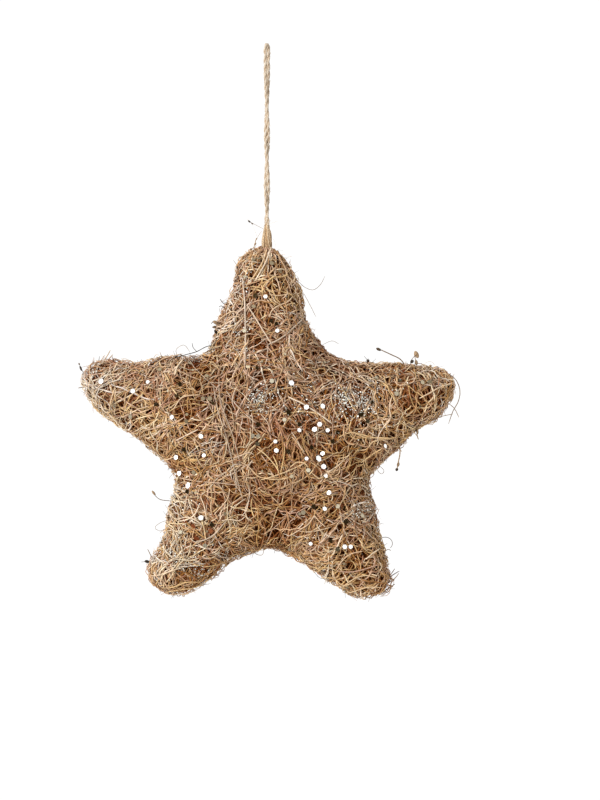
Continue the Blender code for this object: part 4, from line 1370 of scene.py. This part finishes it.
def husk_flakes(finish):
    """Flat flakes of husk just under the outermost straws, at their places on the front and here
    and there all round."""
    listed = np.array(HUSKS)
    places = np.concatenate([STAR.front(listed[:, :2]), STAR.scatter(RANDOM_HUSKS)])
    number = len(places)
    height, outward = STAR.read(places)
    level = np.where(np.arange(number) < len(HUSKS), 0.9, RNG.uniform(-0.8, 0.4, number)) * MM
    middles = places + outward * (level - height)[:, None]
    facings = unit(outward + RNG.normal(0.0, 0.15, outward.shape))
    turn = np.radians(listed[:, 4])
    side = unit(RNG.normal(size=outward.shape))
    side[:len(HUSKS)] = np.stack([np.cos(turn), 0.0 * turn, np.sin(turn)], axis=1)
    radii = RNG.uniform(0.6, 1.5, number) * MM
    radii[:len(HUSKS)] = 0.5 * listed[:, 2] * MM
    shares = RNG.uniform(0.35, 0.8, number)
    shares[:len(HUSKS)] = listed[:, 3] / listed[:, 2]
    tone = RNG.uniform(0.0, 0.12, number)
    tone[:len(HUSKS)] = 0.25 * listed[:, 5]
    laid = plates(middles, facings, radii, 0.15 * MM, 7, side, shares)
    tints = tinted(tone, 0.0, 0.0, 0.1, 2, 7)
    return add_piece("husk_flakes", *laid, finish, tints=tints, smooth=False)


def loose_sequins(finish):
    """Dull sequins at their places on the front, and smaller ones here and there all round."""
    tries = STAR.scatter(STREWN_SEQUINS)
    keep = (tries[:, 1] < -4.0 * MM) | (RNG.random(len(tries)) < 0.5)
    places = np.concatenate([DULL_PLACES, tries[keep]])
    apart = np.linalg.norm(places[:, None] - SEQUIN_MIDDLES[None], axis=2).min(axis=1)
    places = places[apart > SEQUIN_GAP]
    number = len(places)
    height, outward = STAR.read(places)
    middles = places + outward * (RNG.uniform(0.9, 1.4, number) * MM - height)[:, None]
    facings = unit(outward + RNG.normal(0.0, 0.18, outward.shape) + (0.0, -0.1, 0.25))
    listed = apart[:len(DULL_PLACES)] > SEQUIN_GAP
    placed = listed.sum()
    # Painted reflection: each dull sequin's tone, listed or at random, sets how bright its mirrored
    # view looks
    tone = RNG.uniform(0.1, 0.7, number)
    tone[:placed] = np.array(DULL_SEQUINS)[listed, 2]
    small = RNG.uniform(0.5, 0.9, number) * MM
    radii = np.where(np.arange(number) < placed, RNG.uniform(1.1, 1.3, number) * MM, small)
    laid = plates(middles, facings, radii, 0.12 * MM, 6)
    tints = tinted(tone, 0.0, 0.0, 0.0, 2, 6)
    return add_piece("loose_sequins", *laid, finish, "sequin_silver", tints, smooth=False)


def glitter_dust(finish):
    """Specks of glitter on the straw: thickly in patches of the front, thinly everywhere."""
    places = [STAR.scatter(STREWN_SPECKS)]
    for across, down, radius, share in DUST_PATCHES:
        spread = RNG.normal(0.0, 0.7 * radius, (int(PATCH_SPECKS * share), 2))
        places.append(STAR.front((across, down) + spread))
    places = np.concatenate(places)
    height, outward = STAR.read(places)
    middles = places + outward * (RNG.uniform(0.2, 1.5, len(places)) * MM - height)[:, None]
    facings = unit(outward + RNG.normal(0.0, 0.60, outward.shape) + (-0.05, 0.0, 0.34))
    strewn = np.arange(len(places)) < STREWN_SPECKS
    radii = RNG.uniform(*SPECK_RADII, len(places)) * np.where(strewn, 0.5, 1.0)
    laid = plates(middles, facings, radii, 0.06 * MM, 3)
    return add_piece("glitter_dust", *laid, finish, "sequin_silver", smooth=False)


# Light, floor and world

# How bright the room is on the left and on the right, its soft lamp, what the film mirrors of it
# beside what matt things get, and the white that the camera sees
ROOM_SIDES = (1.19, 0.84)
LAMP = 2.0
MIRRORED = 1.6
WHITE = 1.05
# What the film mirrors, and what lights matt things, from straight down to straight up
ROOM = (
    (0.00, (0.78, 0.76, 0.74)),
    (0.38, (0.56, 0.54, 0.52)),
    (0.44, (0.018, 0.011, 0.004)),
    (0.55, (0.018, 0.011, 0.004)),
    (0.64, (0.90, 0.90, 0.90)),
    (1.00, (0.90, 0.90, 0.90)),
)
EVEN = ((0.0, (0.72, 0.67, 0.62)), (0.5, (0.62, 0.57, 0.51)), (1.0, (0.88, 0.86, 0.84)))


def add_light():
    """A key light from the upper left of the front. The film mirrors the room and not the lamp."""
    sun = bpy.data.lights.new("Key light", "SUN")
    sun.energy = KEY_STRENGTH
    sun.angle = math.radians(KEY_WIDTH)
    obj = add_object("Key light", sun)
    obj.rotation_euler = Vector(KEY_FROM).to_track_quat("Z", "Y").to_euler()
    obj.visible_glossy = False


def add_world():
    """A white room for the camera. What the film mirrors is bright above, dark in a band at eye
    level and paler below; the light that falls on matt things is more even and a little warmer.
    Both are brighter on the left, with a soft lamp where the key is."""
    world = bpy.data.worlds.new("Studio")
    bpy.context.scene.world = world
    world.use_nodes = True
    tree = world.node_tree
    tree.nodes.clear()
    direction = node(tree, "ShaderNodeTexCoord").outputs["Generated"]
    parts = node(tree, "ShaderNodeSeparateXYZ", i0=direction).outputs
    rise = rescaled(tree, parts[2], -1.0, 1.0, 0.0, 1.0)
    side = rescaled(tree, parts[0], -1.0, 1.0, *ROOM_SIDES)
    facing = node(tree, "ShaderNodeVectorMath", {"operation": "DOT_PRODUCT"}, i0=direction,
                  i1=tuple(Vector(KEY_FROM).normalized()))
    lamp = rescaled(tree, facing.outputs["Value"], 0.93, 0.97, 0.0, LAMP)
    ray = node(tree, "ShaderNodeLightPath").outputs
    mirrored = rescaled(tree, ray["Is Glossy Ray"], 0.0, 1.0, 1.0, MIRRORED)
    strength = maths(tree, "MULTIPLY", maths(tree, "ADD", side, lamp), mirrored)
    seen = mix(tree, ray["Is Glossy Ray"], ramp(tree, rise, EVEN), ramp(tree, rise, ROOM))
    lit = node(tree, "ShaderNodeBackground", i0=seen, i1=strength)
    white = node(tree, "ShaderNodeBackground", i0=(1.0, 1.0, 1.0), i1=WHITE)
    both = node(tree, "ShaderNodeMixShader", i0=ray["Is Camera Ray"], i1=lit.outputs[0],
                i2=white.outputs[0])
    node(tree, "ShaderNodeOutputWorld", i0=both.outputs[0])
    bpy.context.scene.view_settings.view_transform = "Standard"
    bpy.context.scene.view_settings.look = "None"


def add_floor():
    """A plain pale round floor, a metre under the star."""
    radius, height, sides = 3.6, -1.3, 96
    mesh = bpy.data.meshes.new("floor")
    angle = math.tau * np.arange(sides) / sides
    points = np.stack([radius * np.cos(angle), radius * np.sin(angle),
                       np.full(sides, height)], axis=1)
    mesh.from_pydata(points.tolist(), [], [list(range(sides))])
    made, tree, shader, place = new_material("Pale floor")
    feed(tree, shader, Base_Color=ramp(tree, noise(tree, place, 3.0), FLOOR), Roughness=0.9)
    mesh.materials.append(made)
    add_object("floor", mesh)


def main():
    """Every piece in turn. Each group of pieces starts the chance draws again with its own seed."""
    dry_fibre = dry_fibre_group()
    straw = straw_material(dry_fibre)
    jute = jute_material(dry_fibre)
    jute_hair = fibre_material("Jute hairs", dry_fibre, JUTE_HAIR, 200.0, 1300.0, 0.5, 0.2)
    stem = fibre_material("Seed stems", dry_fibre, STEM, 240.0, 1400.0, 0.7, 0.15)
    film = film_material("Silvered film", FILM, 420.0, 0.03, 0.10)
    glitter = film_material("Glitter", GLITTER, 420.0, 0.22, 0.48)
    dull_film = film_material("Dulled film", DULL_FILM_REFLECTION, 700.0, 0.32, 0.50, dulled=True)

    add_camera()
    route = smooth_line(loop_route(), step=TWINE_STEP)
    line = smooth_line(loop_route(), step=FINE_STEP)
    twine = two_ply("jute_twine", line, jute)
    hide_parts("hanging_loop")

    ends = gathered_ends(jute_hair)
    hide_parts("cord_knot")
    fuzz = twine_fuzz(line, jute_hair)

    packed_core(packed_material(dry_fibre))
    for seed, layer in enumerate(LAYERS, 100):
        draw_afresh(seed)
        straw_layer(*layer, straw)
    draw_afresh(200)
    loose_straws("long_straws", 60, 24, (30, 60), 20.0, 0.85, (0.13, 0.22), (0.4, 0.9), straw)
    loose_straws("short_straws", 230, 6, (3, 8), 60.0, 0.4, (0.12, 0.22), (0.3, 1.0), straw,
                 lift=(0.2, 1.8), rim=0.8)
    loose_straws("stray_hairs", 230, 7, (4, 15), 90.0, 0.4, (0.06, 0.12), (0.25, 1.0), straw,
                 silvered=0.35, lift=(0.6, 3.6), rim=0.4)
    barbs("straw_barbs", 100, (0.12, 0.22), (0.25, 0.8), straw)
    barbs("dark_barbs", 170, (0.11, 0.20), (0.10, 0.45), stem)
    draw_afresh(300)
    husk_flakes(straw)
    draw_afresh(400)
    gathered_straws(straw)
    front_strands(straw)
    stray_stems(stem)
    stem_buds(stem)
    draw_afresh(500)
    loose_sequins(dull_film)
    draw_afresh(600)
    glitter_dust(glitter)
    for name in SEQUIN_NAMES:
        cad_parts[name].material_slots[0].material = film

    add_light()
    add_world()
    add_floor()


main()
